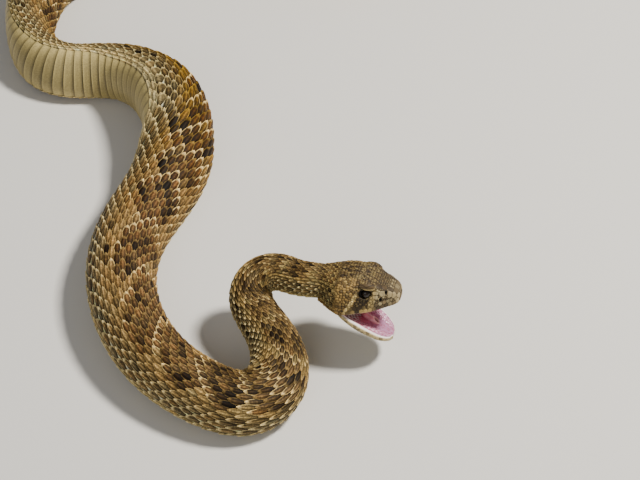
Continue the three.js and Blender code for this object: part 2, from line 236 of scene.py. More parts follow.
def make_piece(name, points, faces, colours, unwrap, material, sharp=None):
    """A mesh object from arrays: points in metres, faces as arrays of equal width, and for each
    point a colour and a place on the unwrap. Edges sharper than the angle sharp, in degrees,
    stay crisp."""
    counts = np.concatenate([np.full(len(f), f.shape[1]) for f in faces])
    corners = np.concatenate([f.ravel() for f in faces]).astype(np.int32)
    starts = np.r_[0, np.cumsum(counts)[:-1]].astype(np.int32)
    mesh = bpy.data.meshes.new(name)
    mesh.vertices.add(len(points))
    mesh.vertices.foreach_set("co", np.ascontiguousarray(points, np.float32).ravel())
    mesh.loops.add(len(corners))
    mesh.loops.foreach_set("vertex_index", corners)
    mesh.polygons.add(len(counts))
    mesh.polygons.foreach_set("loop_start", starts)
    mesh.update(calc_edges=True)
    mesh.validate()
    mesh.shade_smooth()
    if sharp is not None:
        mesh.set_sharp_from_angle(angle=math.radians(sharp))
    layer = mesh.color_attributes.new("markings", "FLOAT_COLOR", "POINT")
    tones = np.ones((len(points), 4), np.float32)
    tones[:, :3] = np.clip(colours, 0, 1)
    layer.data.foreach_set("color", tones.ravel())
    uv = mesh.uv_layers.new(name="OFBake")
    loops = np.empty(len(mesh.loops), np.int32)
    mesh.loops.foreach_get("vertex_index", loops)
    uv.data.foreach_set("uv", np.ascontiguousarray(unwrap[loops], np.float32).ravel())
    mesh.materials.append(material)
    piece = bpy.data.objects.new(name, mesh)
    bpy.context.scene.collection.objects.link(piece)
    return piece


def tube_faces(rows, columns):
    """Quads of a grid of rows by columns that closes round its columns, facing out, with a
    fan to one added point at each end."""
    i, j = np.meshgrid(np.arange(rows - 1), np.arange(columns), indexing="ij")
    k = (j + 1) % columns
    quads = np.stack([i * columns + k, i * columns + j, (i + 1) * columns + j,
                      (i + 1) * columns + k], -1).reshape(-1, 4)
    j = np.arange(columns)
    k = (j + 1) % columns
    last = (rows - 1) * columns
    ends = rows * columns
    caps = np.vstack([np.stack([j, k, np.full(columns, ends)], -1),
                      np.stack([last + k, last + j, np.full(columns, ends + 1)], -1)])
    return [quads, caps]


def make_tube(name, rings, ends, colours, end_colours, along, material, unwrap=None):
    """A closed piece from rings of points, whose order round the ring makes the faces point
    out, with a fan to a point at each end. Its unwrap is laid out along it and round it, where
    none is given."""
    rows, columns = rings.shape[:2]
    if unwrap is None:
        grid = unwrap_place(along, np.arange(columns) / columns).reshape(-1, 2)
        unwrap = np.vstack([grid, unwrap_ends])
    return make_piece(name, np.vstack([rings.reshape(-1, 3), ends]), tube_faces(rows, columns),
                      np.vstack([colours.reshape(-1, 3), end_colours]), unwrap, material)


def add_node(tree, kind, settings=None, **links):
    """Adds a shader node with its settings, and joins or sets its inputs by name."""
    node = tree.nodes.new(kind)
    for key, value in (settings or {}).items():
        setattr(node, key, value)
    for key, value in links.items():
        socket = node.inputs[key.replace("_", " ")]
        if isinstance(value, bpy.types.NodeSocket):
            tree.links.new(value, socket)
        else:
            socket.default_value = value
    return node


keratin_ior = 1.54
mottle_size = 0.9


def horn_material(name, roughness, grain, grain_depth, gloss, mottle=(0.78, 1.2)):
    """Horn or skin whose colour comes from the markings, with a mottle of about a millimetre
    between two strengths, and a fine grain as bump. Grain and its depth are in millimetres."""
    material = bpy.data.materials.new(name)
    material.use_nodes = True
    tree = material.node_tree
    tree.nodes.clear()
    place = add_node(tree, "ShaderNodeTexCoord")
    paint = add_node(tree, "ShaderNodeAttribute", {"attribute_name": "markings"})
    spots = add_node(tree, "ShaderNodeTexNoise", Vector=place.outputs["Object"],
                     Scale=1 / (mottle_size * millimetre), Detail=3.0, Roughness=0.6)
    strength = add_node(tree, "ShaderNodeMapRange", Value=spots.outputs["Fac"],
                        From_Min=0.3, From_Max=0.7, To_Min=mottle[0], To_Max=mottle[1])
    tint = add_node(tree, "ShaderNodeVectorMath", {"operation": "SCALE"},
                    Vector=paint.outputs["Color"], Scale=strength.outputs["Result"])
    fine = add_node(tree, "ShaderNodeTexNoise", Vector=place.outputs["Object"],
                    Scale=1 / (grain * millimetre), Detail=2.0)
    bump = add_node(tree, "ShaderNodeBump", Strength=0.6, Distance=grain_depth * millimetre,
                    Height=fine.outputs["Fac"])
    shader = add_node(tree, "ShaderNodeBsdfPrincipled", Base_Color=tint.outputs["Vector"],
                      Normal=bump.outputs["Normal"], Roughness=roughness, IOR=keratin_ior,
                      Specular_IOR_Level=gloss)
    add_node(tree, "ShaderNodeOutputMaterial", Surface=shader.outputs["BSDF"])
    return material


# Length of a scale along the body, and the sum of rows that this gives.
pitch_places = np.arange(-20.0, 1160.0, 1.0)
scale_pitches = along_stations([
    [-14, 2.7], [0, 3.9], [14, 4.6], [40, 5.2], [80, 6.3], [120, 6.9], [180, 7.6],
    [230, 8.8], [330, 9.0], [430, 9.0], [480, 7.2], [506, 5.4], [545, 5.6], [600, 7.2],
    [800, 7.4], [950, 6.2], [1010, 5.2], [1110, 4.4]])(pitch_places)
row_numbers = np.r_[0, np.cumsum(1 / scale_pitches)[:-1]]
scale_rows = 25
scale_edge = math.radians(118)
row_step = 2 * scale_edge / scale_rows

# Markings: places where two diamonds meet on the back, and how their borders run.
diamond_crossings = np.array([
    -16, 4, 21, 31.5, 42, 60, 79, 107, 122.5, 139.5, 168, 210, 260, 307, 346.5, 369, 392, 415,
    440, 466, 492, 520, 550, 582, 615, 648, 681, 714, 747, 780, 812, 843, 873, 902, 930, 957,
    983, 1008, 1032])
crossing_skew = along_stations([
    [0, 0], [139, 0], [168, 0.35], [210, 0.45], [260, 0.5], [304, 0.05], [346, 0.05],
    [370, 0.12], [415, 0.2], [480, 0]])
crossing_bulge = along_stations([
    [0, 2], [79, 2], [107, 5], [122, 1], [139, 2], [168, 8], [210, 8], [260, 15], [307, 19],
    [346, 11], [370, 6], [415, 6], [480, 10], [600, 13], [1010, 9]])
last_diamond_length = 30.0
bulge_angle = 40.0
left_skew = 0.6
front_fall = 1.1
diamond_half_rows = 5.2
border_pitches = 0.7
dark_border_pitches = 1.9
blotch_row, blotch_half_rows = 7.2, 1.5
blotch_shift, blotch_half_length = 4.0, 8.5
streak_slope = 9.0
tail_band_start, tail_band_length = 6.0, 12.3
dark_share_of = {"border": 0.58, "diamond": 0.22, "ground": 0.09, "flank": 0.06, "blotch": 0.5}
olive_amount = along_stations([
    [0, 1], [120, 0.8], [240, 0.25], [340, 0.1], [380, 0], [560, 0.4], [1010, 0.8]])
gold_amount = along_stations([
    [0, 0.1], [300, 0.12], [350, 0.3], [395, 1], [480, 1], [580, 0.2], [1010, 0.1]])
tone = {name: to_linear(value) for name, value in {
    "ground": "745832", "ground_olive": "6E5D37", "ground_gold": "5A4112", "rim": "A3844E",
    "rim_gold": "9E7A28", "diamond": "50371D", "diamond_olive": "4E3E25",
    "diamond_gold": "52350C", "flank": "655537", "dark": "140B04", "cream": "FFDC92",
    "flank_rim": "DDC68C", "belly": "A1905C", "tail_pale": "B9B5A8", "tail_dark": "171412",
}.items()}


def diamond_place(s, side_row):
    """Where a scale lies among the diamonds. Each rear border is an arc that falls off as the
    angle squared, each front border mirrors it, and bends skew both. Gives whether the scale
    is inside a diamond, its distances to the rear border, to the front one and behind the last
    rear one, and the diamond's middle."""
    angle = np.degrees(side_row * row_step)
    fall = crossing_bulge(s) * (angle / bulge_angle) ** 2
    skewed = s + crossing_skew(s) * np.where(angle > 0, angle, left_skew * angle)
    order = np.arange(len(diamond_crossings))
    lengths = np.append(np.diff(diamond_crossings), last_diamond_length)
    rear = np.interp(skewed + fall, diamond_crossings, order)
    front = np.interp(skewed - front_fall * fall, diamond_crossings, order)
    length = lengths[np.floor(rear).astype(int)]
    to_rear = (np.ceil(rear) - rear) * length
    to_front = (front - np.floor(front)) * lengths[np.floor(front).astype(int)]
    inside = (np.floor(rear) == np.floor(front)) & (np.abs(side_row) < diamond_half_rows)
    middle = np.interp(np.floor(rear) + 0.5, order, diamond_crossings)
    return inside, to_rear, to_front, length - to_rear, middle


def is_dark(inside, near_border, beyond_blotch, side, chance):
    """Whether chance makes a scale dark, by the share of dark scales where it lies."""
    share = np.where(side < 8, dark_share_of["ground"], dark_share_of["flank"])
    share = np.where(inside, dark_share_of["diamond"], share)
    share = np.where(near_border, dark_share_of["border"], share)
    return chance < np.where(beyond_blotch < 1, dark_share_of["blotch"], share)


def body_markings(s, side_row, chance, choice):
    """Colours of a scale's middle, rim and tip from its place along the body and its row: brown
    ground with darker diamonds, dark scales by chance, cream tips along the borders, paler low
    rows, and bands on the tail."""
    side = np.abs(side_row)
    pitch = np.interp(s, pitch_places, scale_pitches)
    inside, to_rear, to_front, behind_border, diamond_middle = diamond_place(s, side_row)
    olive, gold = olive_amount(s), gold_amount(s)
    ground = blend(blend(tone["ground"], tone["ground_olive"], olive), tone["ground_gold"], gold)
    fill = blend(blend(tone["diamond"], tone["diamond_olive"], olive), tone["diamond_gold"], gold)
    rim = blend(tone["rim"], tone["rim_gold"], gold)
    colour = np.where(inside[..., None], fill, ground)
    colour = blend(colour, tone["flank"], 0.7 * smooth_step(5.5, 8.5, side))

    near_border = inside & (to_rear < dark_border_pitches * pitch) & (side > 0.8)
    beyond_blotch = np.hypot((s - diamond_middle - blotch_shift) / blotch_half_length,
                             (side - blotch_row) / blotch_half_rows)
    kept_pale = (to_rear < border_pitches * pitch) & (choice < 0.7)
    dark = is_dark(inside, near_border, beyond_blotch, side, chance) & ~kept_pale
    colour = np.where(dark[..., None], blend(tone["dark"], colour, 0.5 * choice), colour)
    rim = np.where(dark[..., None], rim * 0.62, rim)
    rim = rim * np.where(inside, 0.8, 1.0)[..., None]

    on_border = (to_rear < border_pitches * pitch) | (behind_border < 0.3 * pitch)
    on_border = on_border & (side < diamond_half_rows + 0.4) & (chance < 0.96)
    faint = (to_front < 0.5 * pitch) & (side < diamond_half_rows) & (choice < 0.12) & ~on_border
    off_streak = s - diamond_middle + blotch_shift - streak_slope * (side - blotch_row)
    streak = (np.abs(off_streak) < 0.45 * pitch) & (side > 5) & (side < 9.6) & (choice < 0.6)
    cream = np.where(on_border, 0.95, np.where(faint | streak, 0.42, 0.0)) * (0.8 + 0.2 * choice)
    cream = cream * (0.45 + 0.55 * smooth_step(95, 135, s))
    tip = blend(rim, tone["cream"], cream)
    rim = blend(rim, tone["cream"], 0.45 * cream * on_border)

    low_rows = smooth_step(5.5, 9, side)
    rim = blend(rim, tone["flank_rim"], 0.95 * low_rows)
    tip = blend(tip, tone["flank_rim"], 0.85 * low_rows)
    colour = colour * (1 - 0.25 * low_rows)[..., None]
    pale_edge = smooth_step(300, 350, s) * smooth_step(540, 500, s)
    pale_share = 0.8 * pale_edge * smooth_step(9.2, 11.6, side)
    belly_share = 0.75 * smooth_step(10.2, 11.8, side) * (1 - pale_edge)
    colour = blend(colour, tone["flank_rim"] * 0.72, pale_share)
    colour = blend(colour, tone["belly"] * 0.7, belly_share)

    band = np.floor((s - vent - tail_band_start) / tail_band_length)
    tail_tone = np.where((np.mod(band, 2) == 0)[..., None], tone["tail_dark"], tone["tail_pale"])
    on_tail = smooth_step(vent + 2, vent + 8, s)
    return tuple(blend(part, tail_tone, on_tail) for part in (colour, rim, tip))


first_ring, ring_spacing, ring_columns = 0.3, 2.0, 72
unwrap_length = 1150.0
# The skin's colours are darkened as painted shade, for the gaps between the back's scales and between
# the belly's scutes.
skin_painted_shade, belly_skin_painted_shade = 0.3, 0.45
skin_places = np.arange(first_ring, tail_end, ring_spacing)
skin_angles = np.arange(ring_columns) / ring_columns * 2 * np.pi - np.pi
grid_s, grid_angle = np.meshgrid(skin_places, skin_angles, indexing="ij")
middling = np.full_like(grid_s, 0.5)
skin_colours = body_markings(grid_s, grid_angle / row_step, middling, middling)[0] * skin_painted_shade
on_belly = smooth_step(112, 120, np.degrees(np.abs(grid_angle)))
skin_colours = blend(skin_colours, tone["belly"] * belly_skin_painted_shade, on_belly)
skin_ends = (spine_frame(skin_places[[0, -1]])[0] - footprint_middle) * millimetre
# Supple skin, dull, with a fine grain that breaks its few highlights. Its dark colour is painted
# shade.
supple_skin = horn_material("supple_snake_skin", roughness=0.7, grain=0.4, grain_depth=0.05,
                            gloss=0.3)
body_skin = make_tube("body_skin", body_surface(grid_s, grid_angle, -skin_depth), skin_ends,
                      skin_colours, np.tile(tone["dark"], (2, 1)), grid_s / unwrap_length,
                      supple_skin)
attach(body_skin, "root")
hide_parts("tail", *[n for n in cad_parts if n.startswith(("neck", "body"))])

# Head
# A broad flat skull with its jaw muscles behind the eyes, in skin with small keeled scales on
# the crown and cheeks. Larger horn shields lie along the lips, round the nostrils and over the
# eyes, where they stand out as brows. Their relief is part of the skin's own shape.
draw = np.random.default_rng(7)

# Sizes by the place along the head's own axis, from the neck joint to the snout.
head_length = 47.2
mouth_corner = 15.4
head_yaw, head_pitch, head_roll = math.radians(-12.5), math.radians(-1), math.radians(-15)
half_width_at = along_stations([
    [0, 11.2], [2, 12.6], [5, 15.4], [8, 17.5], [12, 18.8], [16, 18.7], [20, 17.7], [25, 15.8],
    [30, 14.1], [36, 11.8], [41, 9.8], [44, 8.2], [46, 6.2], [head_length, 3.6]])
crown_at = along_stations([
    [0, 9.7], [6, 10], [13, 11.2], [20, 12.6], [25, 12.4], [30, 10.9], [35, 8.8], [41, 6.8],
    [45, 4.9], [head_length, 2.4]])
lip_at = along_stations([
    [0, -9.2], [mouth_corner, -9.3], [21, -8.6], [30, -7.2], [35.5, -5.6], [41, -3.4],
    [45, -2.2], [head_length, -1.4]])
throat_at = along_stations([[0, -9.2], [5, -10.4], [10, -13.0], [mouth_corner, -15.4]])
palate_at = along_stations([
    [mouth_corner, 0.26], [35, 0.24], [41, 0.12], [45, 0.02], [head_length, 0.02]])
eye_place = np.array([28.1, 12.7, 5.0])
eye_radius = 2.75
pit_place = np.array([36.8, 11.3, 1.4])
nostril_place = np.array([39.3, 9.4, 5.7])
brow_along, brow_reach, brow_out, brow_up = 29.2, 4.6, 1.3, 0.9
cheek_level = 0.26
throat_roundness = 0.85
lip_edge_out = np.array([0.99, 0.94, 0.85, 0.76, 0.42, 0])
lip_edge_up = np.array([0.1, 0, 0.01])
palate_up = np.array([0.6, 1, 1.1])
curve_samples = 60

# Outline of a half section, out and up as shares: round behind, and flat topped before the eyes.
round_half = np.array([[0, 1], [0.3, 0.99], [0.55, 0.95], [0.76, 0.86], [0.9, 0.7],
                       [0.98, 0.48], [1, 0.26]])
angular_half = np.array([[0, 1], [0.36, 1], [0.64, 0.98], [0.84, 0.91], [0.92, 0.72],
                         [0.97, 0.48], [1, 0.26]])
forward = np.array([math.cos(head_yaw) * math.cos(head_pitch),
                    math.sin(head_yaw) * math.cos(head_pitch), math.sin(head_pitch)])
level_side = np.cross([0, 0, 1.0], forward)
level_side /= np.linalg.norm(level_side)
upright = np.cross(forward, level_side)
head_left = level_side * math.cos(head_roll) + upright * math.sin(head_roll)
head_axes = np.stack([forward, head_left, np.cross(forward, head_left)])
head_origin = spine_frame(np.array([0.0]))[0][0] - footprint_middle


def head_to_model(points):
    """From the head's own millimetres (to the snout, to its left, to its crown) to metres."""
    return (head_origin + points @ head_axes) * millimetre


def smooth_through(points, shares):
    """A Catmull-Rom curve through points on the second to last axis, read at shares from 0 to
    the last point's number."""
    count = points.shape[-2]
    first = np.clip(np.floor(shares).astype(int), 0, count - 2)
    t = (shares - first)[:, None]
    p0, p1 = points[..., np.maximum(first - 1, 0), :], points[..., first, :]
    p2, p3 = points[..., first + 1, :], points[..., np.minimum(first + 2, count - 1), :]
    return 0.5 * (2 * p1 + (p2 - p0) * t + (2 * p0 - 5 * p1 + 4 * p2 - p3) * t**2
                  + (3 * p1 - p0 - 3 * p2 + p3) * t**3)


def head_half_section(x):
    """Thirteen points out and up at each x: seven over the outside down to the lip, then six
    that follow the throat behind the mouth's corner, or the lip's edge and the palate."""
    width, crown, lip = (f(x)[:, None] for f in (half_width_at, crown_at, lip_at))
    angular = smooth_step(20, 34, x)[:, None]
    brow = np.exp(-(((x - brow_along) / brow_reach) ** 2))[:, None] * [0, 0, 0.5, 1, 0, 0, 0]
    half = round_half + (angular_half - round_half) * angular[..., None]
    out = half[..., 0] * width + brow_out * brow
    up = lip + (crown - lip) * half[..., 1] + brow_up * brow
    front_out = lip_edge_out * width
    front_up = lip + (crown - lip) * np.hstack([
        np.tile(lip_edge_up, (len(x), 1)), palate_at(x)[:, None] * palate_up])
    side_level = lip + (crown - lip) * cheek_level
    turn = np.radians(np.arange(15, 91, 15))
    rear_out = width * np.cos(turn) ** throat_roundness
    rear_up = side_level - (side_level - throat_at(x)[:, None]) * np.sin(turn)
    open_share = smooth_step(mouth_corner - 0.3, mouth_corner, x)[:, None]
    lower_out = rear_out * (1 - open_share) + front_out * open_share
    lower_up = rear_up * (1 - open_share) + front_up * open_share
    return np.stack([np.hstack([out, lower_out]), np.hstack([up, lower_up])], -1)


def even_columns(curves, bounds, counts):
    """Resamples each curve so that its columns are even in length between the given shares,
    which stay columns. Curves are rows by fine shares by out and up."""
    parts = []
    for (low, high), count in zip(bounds, counts):
        fine = curves(np.linspace(low, high, curve_samples))
        length = np.linalg.norm(np.diff(fine, axis=1), axis=-1)
        length = np.hstack([np.zeros((len(fine), 1)), np.cumsum(length, 1)])
        want = np.linspace(0, 1, count + 1)[:-1]
        parts.append(np.stack([np.stack([np.interp(want * full[-1], full, row[:, k])
                                         for k in (0, 1)], -1)
                               for full, row in zip(length, fine)]))
    return np.concatenate(parts + [curves(np.array([float(bounds[-1][1])]))], 1)


def half_surface(x, sections, bounds, counts):
    """One half of a skin as rows at each x: even columns through the sections' points, each
    with its places along, out and up."""
    halves = even_columns(lambda shares: smooth_through(sections, shares), bounds, counts)
    return np.concatenate([np.broadcast_to(x[:, None, None], halves.shape[:2] + (1,)), halves], -1)


def outward_normals(half, seen_rows, seen_columns):
    """Unit normals of a half skin from the slopes of its grid, turned so that those of a part
    that lies on top point up."""
    normal = np.cross(np.gradient(half, axis=0), np.gradient(half, axis=1))
    normal /= np.linalg.norm(normal, axis=-1, keepdims=True)
    return normal * np.sign(np.median(normal[seen_rows, seen_columns, 2]))


def whole_rings(half, mirror=(1, 1, 1)):
    """Half rings with their mirror image, in the order that makes the faces point out."""
    return np.concatenate([half, half[:, 1:-1][:, ::-1] * mirror], 1)[:, ::-1]


outer_columns, inner_columns = 118, 40
head_rows = np.concatenate([
    np.linspace(0.15, mouth_corner - 0.45, 56), np.linspace(mouth_corner - 0.3, mouth_corner, 4),
    np.linspace(mouth_corner + 0.25, 44.6, 110), np.linspace(44.75, head_length, 18)])
smooth_half = half_surface(head_rows, head_half_section(head_rows), [(0, 8), (8, 12)],
                           [outer_columns, inner_columns])
half_normal = outward_normals(smooth_half, slice(60, 170), slice(30))
half_steps = np.linalg.norm(np.diff(smooth_half[..., 1:], axis=1), axis=-1)
arc_half = np.cumsum(np.pad(half_steps, ((0, 0), (1, 0))), 1)

# Large shields of one half: places along, out and up, half length and half width, and for all
# but the brow the draw that sets the tone.
brow_shield = [29.0, 12.9, 9.3, 5.3, 1.5]
front_shields = np.array([
    [34.6, 8.4, 8.3, 1.6, 1.6, 0.7], [37.9, 7.4, 7.5, 1.5, 1.5, 0.5],
    [41.2, 6.2, 6.4, 1.5, 1.5, 0.7], [44.2, 3.9, 5.0, 1.5, 1.6, 0.5],
    [44.4, 0.9, 5.3, 1.5, 1.1, 0.2], [41.3, 8.9, 4.9, 1.2, 2.1, 0.1],
    [37.2, 10.2, 5.2, 1.4, 1.5, 0.3], [33.4, 12.2, 5.6, 1.8, 1.2, 0.2],
    [34.0, 12.4, 2.8, 1.7, 1.1, 0.3], [47.0, 1.2, 0.6, 1.5, 2.0, 0.6],
    [46.0, 4.4, 2.4, 1.2, 1.5, 0.1], [43.7, 7.4, 3.6, 0.9, 1.6, 0.3],
    [43.6, 7.9, 0.4, 0.9, 1.3, 0.7], [46.6, 1.1, 3.6, 0.9, 1.2, 0.5]])
eye_ring_turns = np.radians(np.arange(-215, 20, 26))
eye_ring_along, eye_ring_out, eye_ring_up, eye_ring_half = 4.0, 13.2, 3.9, 0.8
lip_steps = np.r_[mouth_corner + 1.4, np.linspace(2.6, 1.9, 13)]
small_sizes = np.array([[0, 2.3], [14, 2.0], [26, 1.65], [36, 1.45], [46, 1.3]])
small_half_length, small_half_width, small_wobble = 0.58, 0.42, 0.21
row_spacing, seed_spacing = 0.9, 0.8
last_row = 45.5
shield_clearance = 0.45


def large_seeds():
    """The brow, the front shields, a ring of small scales round the eye, the shields of the
    lip, and a row above them that lies half a step forward."""
    ring = [[eye_place[0] + eye_ring_along * math.cos(a), eye_ring_out,
             eye_place[2] + eye_ring_up * math.sin(a), eye_ring_half, eye_ring_half]
            for a in eye_ring_turns]
    lip_x = np.cumsum(lip_steps)
    lips = [[x, half_width_at(x), lip_at(x) + 1.5, 1.15, 1.55] for x in lip_x]
    above = [[x + 1.1, half_width_at(x), lip_at(x) + 4.1, 1.05, 1.15] for x in lip_x[:-1]]
    return np.array([brow_shield] + front_shields[:, :5].tolist() + ring + lips + above)


def shield_seeds():
    """Middles of scales and shields on one half of the head, each with its half length along
    the head and its half width: the large ones, then small ones in offset rows all over, less
    those that the large ones take."""
    small = []
    x, row = 0.8, 0
    while x < last_row:
        size = float(np.interp(x, *small_sizes.T))
        k = int(np.argmin(np.abs(head_rows - x)))
        last = outer_columns if x > mouth_corner else smooth_half.shape[1] - 1
        lengths = arc_half[k, :last + 1]
        count = max(2, round(lengths[-1] / (seed_spacing * size)))
        for place in (np.arange(count + 1) + 0.5 * (row % 2)) / count * lengths[-1]:
            j = int(np.argmin(np.abs(lengths - place)))
            wobble = small_wobble * size * draw.normal(size=2)
            y, z = smooth_half[k, j, 1:]
            small.append([x + wobble[0], max(y + wobble[1], 0), z, small_half_length * size,
                          small_half_width * size])
        x, row = x + row_spacing * size, row + 1
    small, large = np.array(small), large_seeds()
    reach = large[:, [3, 4, 4]] + shield_clearance
    gap = (small[:, None, :3] - large[None, :, :3]) / reach
    kept = small[np.min(np.linalg.norm(gap, axis=-1), axis=1) > 1]
    return np.vstack([large, kept]), len(large)


search_block = 2000


def nearest_shields(points, seeds):
    """For each point the nearest seed in the seeds' own stretched measure, and the distances to
    the nearest and the next one, found a few thousand points at a time."""
    first = np.empty(len(points), int)
    near, following = np.empty(len(points)), np.empty(len(points))
    for start in range(0, len(points), search_block):
        part = points[start:start + search_block]
        gap = part[:, None] - seeds[None, :, :3]
        along, lateral = gap[..., 0] / seeds[:, 3], np.hypot(gap[..., 1], gap[..., 2]) / seeds[:, 4]
        distance = np.hypot(along, lateral)
        order = np.argpartition(distance, 1, axis=1)[:, :2]
        pair = np.sort(np.take_along_axis(distance, order, 1), axis=1)
        first[start:start + search_block] = np.argmin(distance, axis=1)
        near[start:start + search_block], following[start:start + search_block] = pair.T
    return first, near, following


def head_surface(x, angle, height):
    """Points on the head behind the mouth's corner, at x and an angle from the middle of the
    crown to that of the throat, read as a share of the girth, and moved out by a height."""
    row = np.interp(x, head_rows, np.arange(len(head_rows)))
    first = np.clip(np.floor(row).astype(int), 0, len(head_rows) - 2)
    t = row - first
    side_length = np.interp(x, head_rows, arc_half[:, outer_columns])
    whole = np.interp(x, head_rows, arc_half[:, -1])
    length = np.abs(angle) / np.pi * whole
    column = np.where(length < side_length, length / side_length * outer_columns, outer_columns
                      + (length - side_length) / (whole - side_length) * inner_columns)
    second = np.clip(np.floor(column).astype(int), 0, outer_columns + inner_columns - 1)
    r = column - second
    corners = [((1 - t) * (1 - r), 0, 0), (t * (1 - r), 1, 0), ((1 - t) * r, 0, 1), (t * r, 1, 1)]
    point, normal = (sum(w[..., None] * grid[first + i, second + j] for w, i, j in corners)
                     for grid in (smooth_half, half_normal))
    point = point + normal * height[..., None]
    point[..., 1] *= -np.sign(angle)
    return head_to_model(point)


# Relief, in millimetres: each scale a flat field with grooves round it, small ones raised at
# the rear and keeled. The socket, pit and nostrils are sunk, and the brow and lids stand out.
groove_width = 0.42
shield_rise, rear_rise, keel_rise = 0.34, 0.16, 0.2
head_keel_half_width = 0.32
nape_depth = 0.25
socket_radius, socket_edge, socket_depth = 2.3, 2.9, 1.6
socket_stretch, socket_shift = 1.35, 0.4
lid_radius, lid_half_width, lid_rise = 3.2, 0.5, 0.45
brow_rise = 0.55
pit_depth, nostril_depth = 1.3, 1.1
nostril_rim_rise, nostril_rim_radius = 0.25, 1.5
seeds, large_count = shield_seeds()
flat_half = smooth_half.reshape(-1, 3)
owner, near, following = nearest_shields(flat_half, seeds)
to_edge = (following - near) * np.minimum(seeds[owner, 3], seeds[owner, 4])
plateau = smooth_step(0.0, groove_width, to_edge)
is_small = owner >= large_count
is_brow = owner == 0
offset = flat_half - seeds[owner, :3]
backward = np.clip(-offset[:, 0] / seeds[owner, 3], -1, 1)
keel_line = np.exp(-((np.hypot(offset[:, 1], offset[:, 2]) / head_keel_half_width) ** 2))
keeled = is_small * smooth_step(33, 24, flat_half[:, 0])
relief = plateau * (shield_rise + is_small * rear_rise * backward + keel_rise * keel_line * keeled)
skin_x, skin_out, skin_up = flat_half.T
column_of = np.tile(np.arange(smooth_half.shape[1]), len(head_rows))
in_mouth = smooth_step(outer_columns - 3, outer_columns + 2, column_of)
in_mouth = in_mouth * (skin_x > mouth_corner - 0.2)
under_nape = smooth_step(12.5, 8.5, skin_x) * smooth_step(0.7, 0.6, column_of / column_of.max())
relief = relief * (1 - in_mouth) * smooth_step(head_length, head_length - 1, skin_x)
relief = relief * (1 - under_nape) - nape_depth * under_nape
from_eye = np.hypot((skin_x - eye_place[0] + socket_shift) / socket_stretch,
                    skin_up - eye_place[2])
beside_eye = (skin_out > 9.5) & (skin_up < 8.4)
socket = beside_eye * smooth_step(socket_edge, socket_radius, from_eye)
lid = beside_eye * np.exp(-(((from_eye - lid_radius) / lid_half_width) ** 2)) * ~is_brow
relief = relief + brow_rise * is_brow * smooth_step(0, 0.5, to_edge)
relief = relief * (1 - socket) - socket_depth * socket + lid_rise * lid
pit_gap = np.linalg.norm(flat_half - pit_place, axis=1)
nostril_gap = np.linalg.norm((flat_half - nostril_place) / [0.85, 1, 1.35], axis=1)
relief = relief - pit_depth * smooth_step(1.25, 0.5, pit_gap)
relief = relief - nostril_depth * smooth_step(1.0, 0.4, nostril_gap)
nostril_rim = np.exp(-(((nostril_gap - nostril_rim_radius) / 0.5) ** 2))
relief = relief + nostril_rim_rise * nostril_rim

# Markings of the head: ends of the stripes in places along and up, and their half widths.
head_tone = {name: to_linear(value) for name, value in {
    "crown": "4C391C", "speck": "1E160B", "rim": "A38C54", "cheek": "96763E", "stripe": "DDBF7A",
    "band": "33260F", "lip": "B89A5C", "snout": "7C6949", "cream": "D2BE8C", "brow": "54432A",
    "mouth": "5E1218", "palate": "C9929A", "gum": "E3C7BE",
}.items()}
dark_band = ([(27.0, 1.0), (21.0, -8.5)], 4.2)
stripe_behind_eye = ([(23.0, 4.8), (17.4, -7.2)], 1.2)
stripe_before_eye = ([(32.2, 6.6), (31.6, -3.4)], 1.9)


def stripe_share(x, up, ends, width):
    """How far a point of the side lies in a straight stripe between two ends in x and up."""
    start, end = np.array(ends)
    run = end - start
    t = ((x - start[0]) * run[0] + (up - start[1]) * run[1]) / (run @ run)
    away = np.hypot(x - start[0] - t * run[0], up - start[1] - t * run[1])
    return smooth_step(width, 0.55 * width, away) * smooth_step(-0.15, 0.05, t) * smooth_step(
        1.15, 0.95, t)


def head_markings(x, out, up, chance, choice):
    """Golden olive crown with dark specks, a pale stripe from behind the eye to the mouth's
    corner, another before the eye, a dark band between them, pale lips and a pale snout."""
    lip_gap = up - lip_at(x)
    on_side = smooth_step(8.5, 10.5, out)
    colour = blend(head_tone["crown"], head_tone["cheek"], on_side * smooth_step(26, 20, x))
    colour = blend(colour, head_tone["speck"], 0.8 * (chance < 0.26) * (0.4 + 0.6 * choice))
    colour = blend(colour, head_tone["rim"], 0.4 * (chance > 0.82) * smooth_step(38, 30, x))
    band = stripe_share(x, up, *dark_band) * on_side
    colour = blend(colour, head_tone["band"], band * (0.5 + 0.45 * choice))
    lip_row = smooth_step(3.6, 2.2, lip_gap) * on_side * smooth_step(17, 24, x)
    colour = blend(colour, head_tone["lip"], lip_row * (chance > 0.3) * (0.6 + 0.4 * choice))
    snout = smooth_step(31.5, 35.5, x)
    on_front = np.maximum(on_side, smooth_step(38, 42, x))
    colour = blend(colour, head_tone["brow"], 0.6 * snout)
    colour = blend(colour, head_tone["snout"], 0.9 * snout * on_front)
    colour = blend(colour, head_tone["speck"], 0.85 * snout * (chance > 0.68) * choice)
    cream_share = 0.8 * snout * (chance < 0.36) * np.maximum(on_side, 0.4 * on_front)
    colour = blend(colour, head_tone["cream"], cream_share)
    behind = stripe_share(x, up, *stripe_behind_eye) * on_side
    before = stripe_share(x, up, *stripe_before_eye) * on_side
    colour = blend(colour, head_tone["stripe"], 0.95 * behind)
    return blend(colour, head_tone["stripe"] * 0.85, 0.62 * before)


